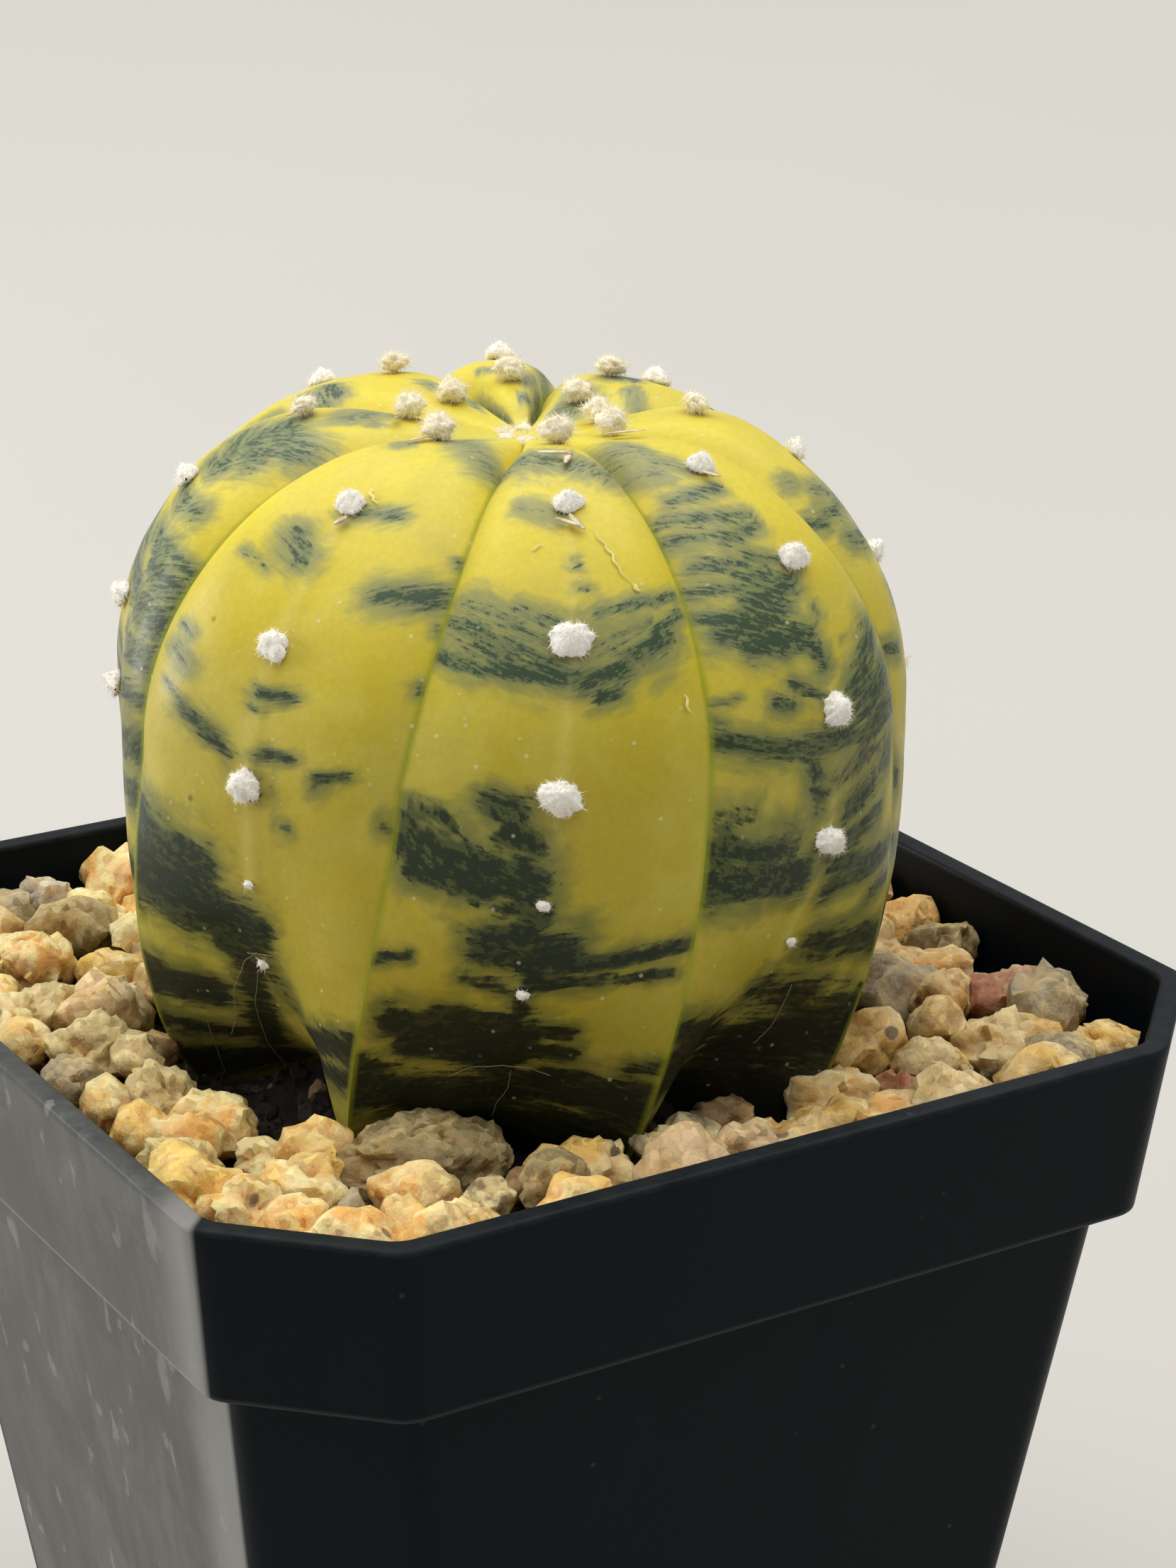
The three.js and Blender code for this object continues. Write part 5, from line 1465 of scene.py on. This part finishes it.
def stone_material():
    """Cloudy quartz and feldspar: stained patches, clear parts, pale crystal faces, dark minerals, and
    painted shade in the crevices.
    """
    made, make, shader = material("quartz_pebbles")
    place = make.coordinates()
    tint = make.attribute("tint", "Color")
    stain = make.attribute("stain_tint", "Color")
    stain_mask = make.blotches(place, 330.0, 0.46, 0.62)
    body = make.mix(make.times(stain_mask, 0.85), tint, stain)
    cloud = make.blotches(place, 620.0, 0.4, 0.7)
    cloudy = make.mix(make.times(cloud, 0.4), body, make.mix(0.4, body, rgba((0.86, 0.68, 0.36))))
    crystal = make.cells(place, 1700.0, output="Color")
    crystal_tone = make.fade(make.add("ShaderNodeSeparateColor", {"Color": crystal}), 0.0, 1.0, 0.95, 1.25)
    grey = make.add("ShaderNodeCombineColor", {channel: crystal_tone for channel in range(3)})
    grained = make.mix(1.0, cloudy, grey, blend="MULTIPLY")
    # Painted shade: darker and more orange where a stone's skin was pushed in, in its crevices
    seams = make.times(make.fade(make.attribute("deep"), 0.55, 1.0), 0.5)
    crevice_shaded = make.mix(seams, grained, make.mix(0.6, grained, rgba((0.42, 0.20, 0.05))))
    dark = make.specks(place, 520.0, 0.05, 0.3)
    final = make.mix(make.times(dark, 0.75), crevice_shaded, rgba((0.045, 0.04, 0.035)))
    large = make.crystals(place, 650.0, 0.8)
    small = make.crystals(place, 1700.0, 0.9)
    worn = make.times(make.noise(place, 2400.0, detail=5.0, roughness=0.7), 0.00022)
    relief = make.math("ADD", make.math("ADD", large, small), worn)
    make.dress(shader, {
        "Base Color": final,
        "Roughness": make.fade(make.noise(place, 700.0, detail=4.0), 0.35, 0.65, 0.28, 0.6),
        "Normal": make.bump(relief, 1.0, 1.0),
        "Subsurface Weight": 0.45, "Subsurface Radius": (1.0, 0.8, 0.45), "Subsurface Scale": 0.0012,
        "Specular IOR Level": 0.5})
    return made


def crumb_tree():
    """Small angular crumbs strewn over the upward faces of a mesh, without the mesh itself."""
    tree, make, given, out = geometry_tree("Crumbs", {
        "Per square metre": ("NodeSocketFloat", 4.0e5), "Largest": ("NodeSocketFloat", 0.0009),
        "Smallest": ("NodeSocketFloat", 0.0003), "Seed": ("NodeSocketInt", 1),
        "Material": ("NodeSocketMaterial", None)})
    upward = make.math("GREATER_THAN", make.axis(make.add("GeometryNodeInputNormal"), "Z"), 0.45)
    spread = make.add("GeometryNodeDistributePointsOnFaces", {
        "Mesh": given["Geometry"], "Selection": upward, "Density": given["Per square metre"],
        "Seed": given["Seed"]})
    crumbs = make.add("GeometryNodeJoinGeometry").node
    for variant in range(4):
        ball = make.add("GeometryNodeMeshIcoSphere", {"Radius": 1.0, "Subdivisions": 2}, output="Mesh")
        position = make.add("GeometryNodeInputPosition")
        shifted = make.add("ShaderNodeVectorMath", {0: position, 1: (variant * 5.0, 0, 0)}, operation="ADD")
        rough = make.noise(shifted, 1.3, detail=1.0)
        grow_by = make.math("SUBTRACT", make.times(rough, 1.9), 0.95)
        offset = make.add("ShaderNodeVectorMath", {0: position, "Scale": grow_by}, operation="SCALE")
        lump = make.add("GeometryNodeSetPosition", {"Geometry": ball, "Offset": offset})
        tree.links.new(make.add("GeometryNodeGeometryToInstance", {"Geometry": lump}), crumbs.inputs[0])
    size = make.add("FunctionNodeRandomValue", {2: given["Smallest"], 3: given["Largest"]}, output=1,
                    data_type="FLOAT")
    turn = make.add("FunctionNodeRandomValue", {"Max": (6.28, 6.28, 6.28)}, data_type="FLOAT_VECTOR")
    placed = make.add("GeometryNodeInstanceOnPoints", {
        "Points": spread, "Instance": crumbs.outputs[0], "Pick Instance": True, "Rotation": turn,
        "Scale": size})
    tone = make.add("FunctionNodeRandomValue", {"Seed": 7}, output=1, data_type="FLOAT")
    stored = make.add("GeometryNodeStoreNamedAttribute", {"Geometry": placed, "Name": "tone", "Value": tone},
                      data_type="FLOAT", domain="INSTANCE")
    real = make.add("GeometryNodeRealizeInstances", {"Geometry": stored})
    finished = make.add("GeometryNodeSetMaterial", {"Geometry": real, "Material": given["Material"]})
    make.feed(out["Geometry"], finished)
    return tree


def crumb_material():
    """Crumbs of soil, bark and broken grit: dark brown to sandy, by each crumb's own tone."""
    made, make, shader = material("soil_crumbs")
    place = make.coordinates()
    tone = make.attribute("tone")
    colour = make.ramp(tone, [(0.0, (0.005, 0.003, 0.002)), (0.6, (0.014, 0.007, 0.004)),
                              (0.85, (0.05, 0.025, 0.012)), (0.95, (0.22, 0.12, 0.05)),
                              (1.0, (0.45, 0.31, 0.15))])
    dim = make.mix(0.4, colour, rgba((0.02, 0.012, 0.008)))
    make.dress(shader, {
        "Base Color": make.mix(make.noise(place, 1500.0, detail=3.0), colour, dim),
        "Normal": make.bump(make.noise(place, 3000.0, detail=3.0), 0.0002, 0.8), "Roughness": 0.85})
    return made


def make_crumbs(bed):
    """Loose crumbs of soil, bark and grit over the bed."""
    crumbs = bed.copy()
    crumbs.data = bed.data.copy()
    crumbs.name = "bed_crumbs"
    bpy.context.scene.collection.objects.link(crumbs)
    values = {"Per square metre": 5.5e5, "Largest": 0.001, "Smallest": 0.0003, "Seed": 3,
              "Material": crumb_material()}
    grow(crumbs, crumb_tree(), values)
    settle(crumbs, "quartz_grit", "grit")


def make_stem():
    skin = stem_skin()
    skin.data.materials.append(skin_material())
    settle(skin, "stem_skin", "stem")
    make_wool()
    make_scraps()
    make_threads()
    make_scratches()


def make_fill():
    soil = soil_material()
    frame["nodes"]["soil"].data.materials.clear()
    frame["nodes"]["soil"].data.materials.append(soil)
    bed = make_bed(soil)
    make_crumbs(bed)
    settle(bed, "potting_soil", "grit")
    make_stones()


def make_floor():
    """A wide plain table top, pale and matt."""
    corners = [(x * FLOOR_REACH, y * FLOOR_REACH, 0) for x, y in ((-1, -1), (1, -1), (1, 1), (-1, 1))]
    floor = mesh_object("table_top", corners, [(0, 1, 2, 3)])
    made, make, shader = material("pale_paper")
    cloud = make.noise(make.coordinates(), 4.0, detail=2.0)
    make.dress(shader, {
        "Base Color": make.mix(cloud, rgba((0.50, 0.485, 0.45)), rgba((0.53, 0.515, 0.48))),
        "Roughness": 0.9})
    floor.data.materials.append(made)


def aimed_light(name, kind, strength, way):
    """A light in the lamps' own colour that shines along way."""
    light = bpy.data.lights.new(name, kind)
    light.energy = strength
    light.color = LAMP_COLOUR
    lamp = new_object(name, light)
    lamp.rotation_mode = "QUATERNION"
    lamp.rotation_quaternion = way.to_track_quat("-Z", "Y")
    return light, lamp


def make_lights():
    overhead, _ = aimed_light("overhead_diffuser", "SUN", SUN_STRENGTH, Vector(SUN_WAY))
    overhead.angle = math.radians(SUN_SPREAD)
    place, target = Vector(WINDOW_PLACE) * MM, Vector((0, 0, 60)) * MM
    window, lamp = aimed_light("window_left", "AREA", WINDOW_WATTS, target - place)
    window.shape = "RECTANGLE"
    window.size, window.size_y = WINDOW_WIDTH * MM, WINDOW_HEIGHT * MM
    lamp.location = place
    world = bpy.data.worlds.new("studio_room")
    bpy.context.scene.world = world
    world.use_nodes = True
    room = world.node_tree.nodes["Background"].inputs
    room["Color"].default_value = rgba(ROOM_COLOUR)
    room["Strength"].default_value = ROOM_STRENGTH


def make_camera():
    """The camera that took the photo."""
    lens = bpy.data.cameras.new("camera")
    lens.sensor_width = SENSOR_WIDTH
    lens.lens = SENSOR_WIDTH * FOCAL_PIXELS / max(PHOTO_WIDTH, PHOTO_HEIGHT)
    lens.clip_start, lens.clip_end = 0.01, 20
    camera = new_object("camera", lens)
    back, up = -Vector(CAMERA_FORWARD), -Vector(CAMERA_DOWN)
    turn = Matrix((Vector(CAMERA_RIGHT), up, back)).transposed()
    camera.matrix_world = Matrix.Translation(Vector(CAMERA_PLACE) * MM) @ turn.to_4x4()
    bpy.context.scene.camera = camera


def set_view():
    view = bpy.context.scene.view_settings
    view.view_transform = "Standard"
    view.look = "None"
    view.exposure = 0.0


make_pot()
make_fill()
make_stem()
make_floor()
make_lights()
make_camera()
set_view()
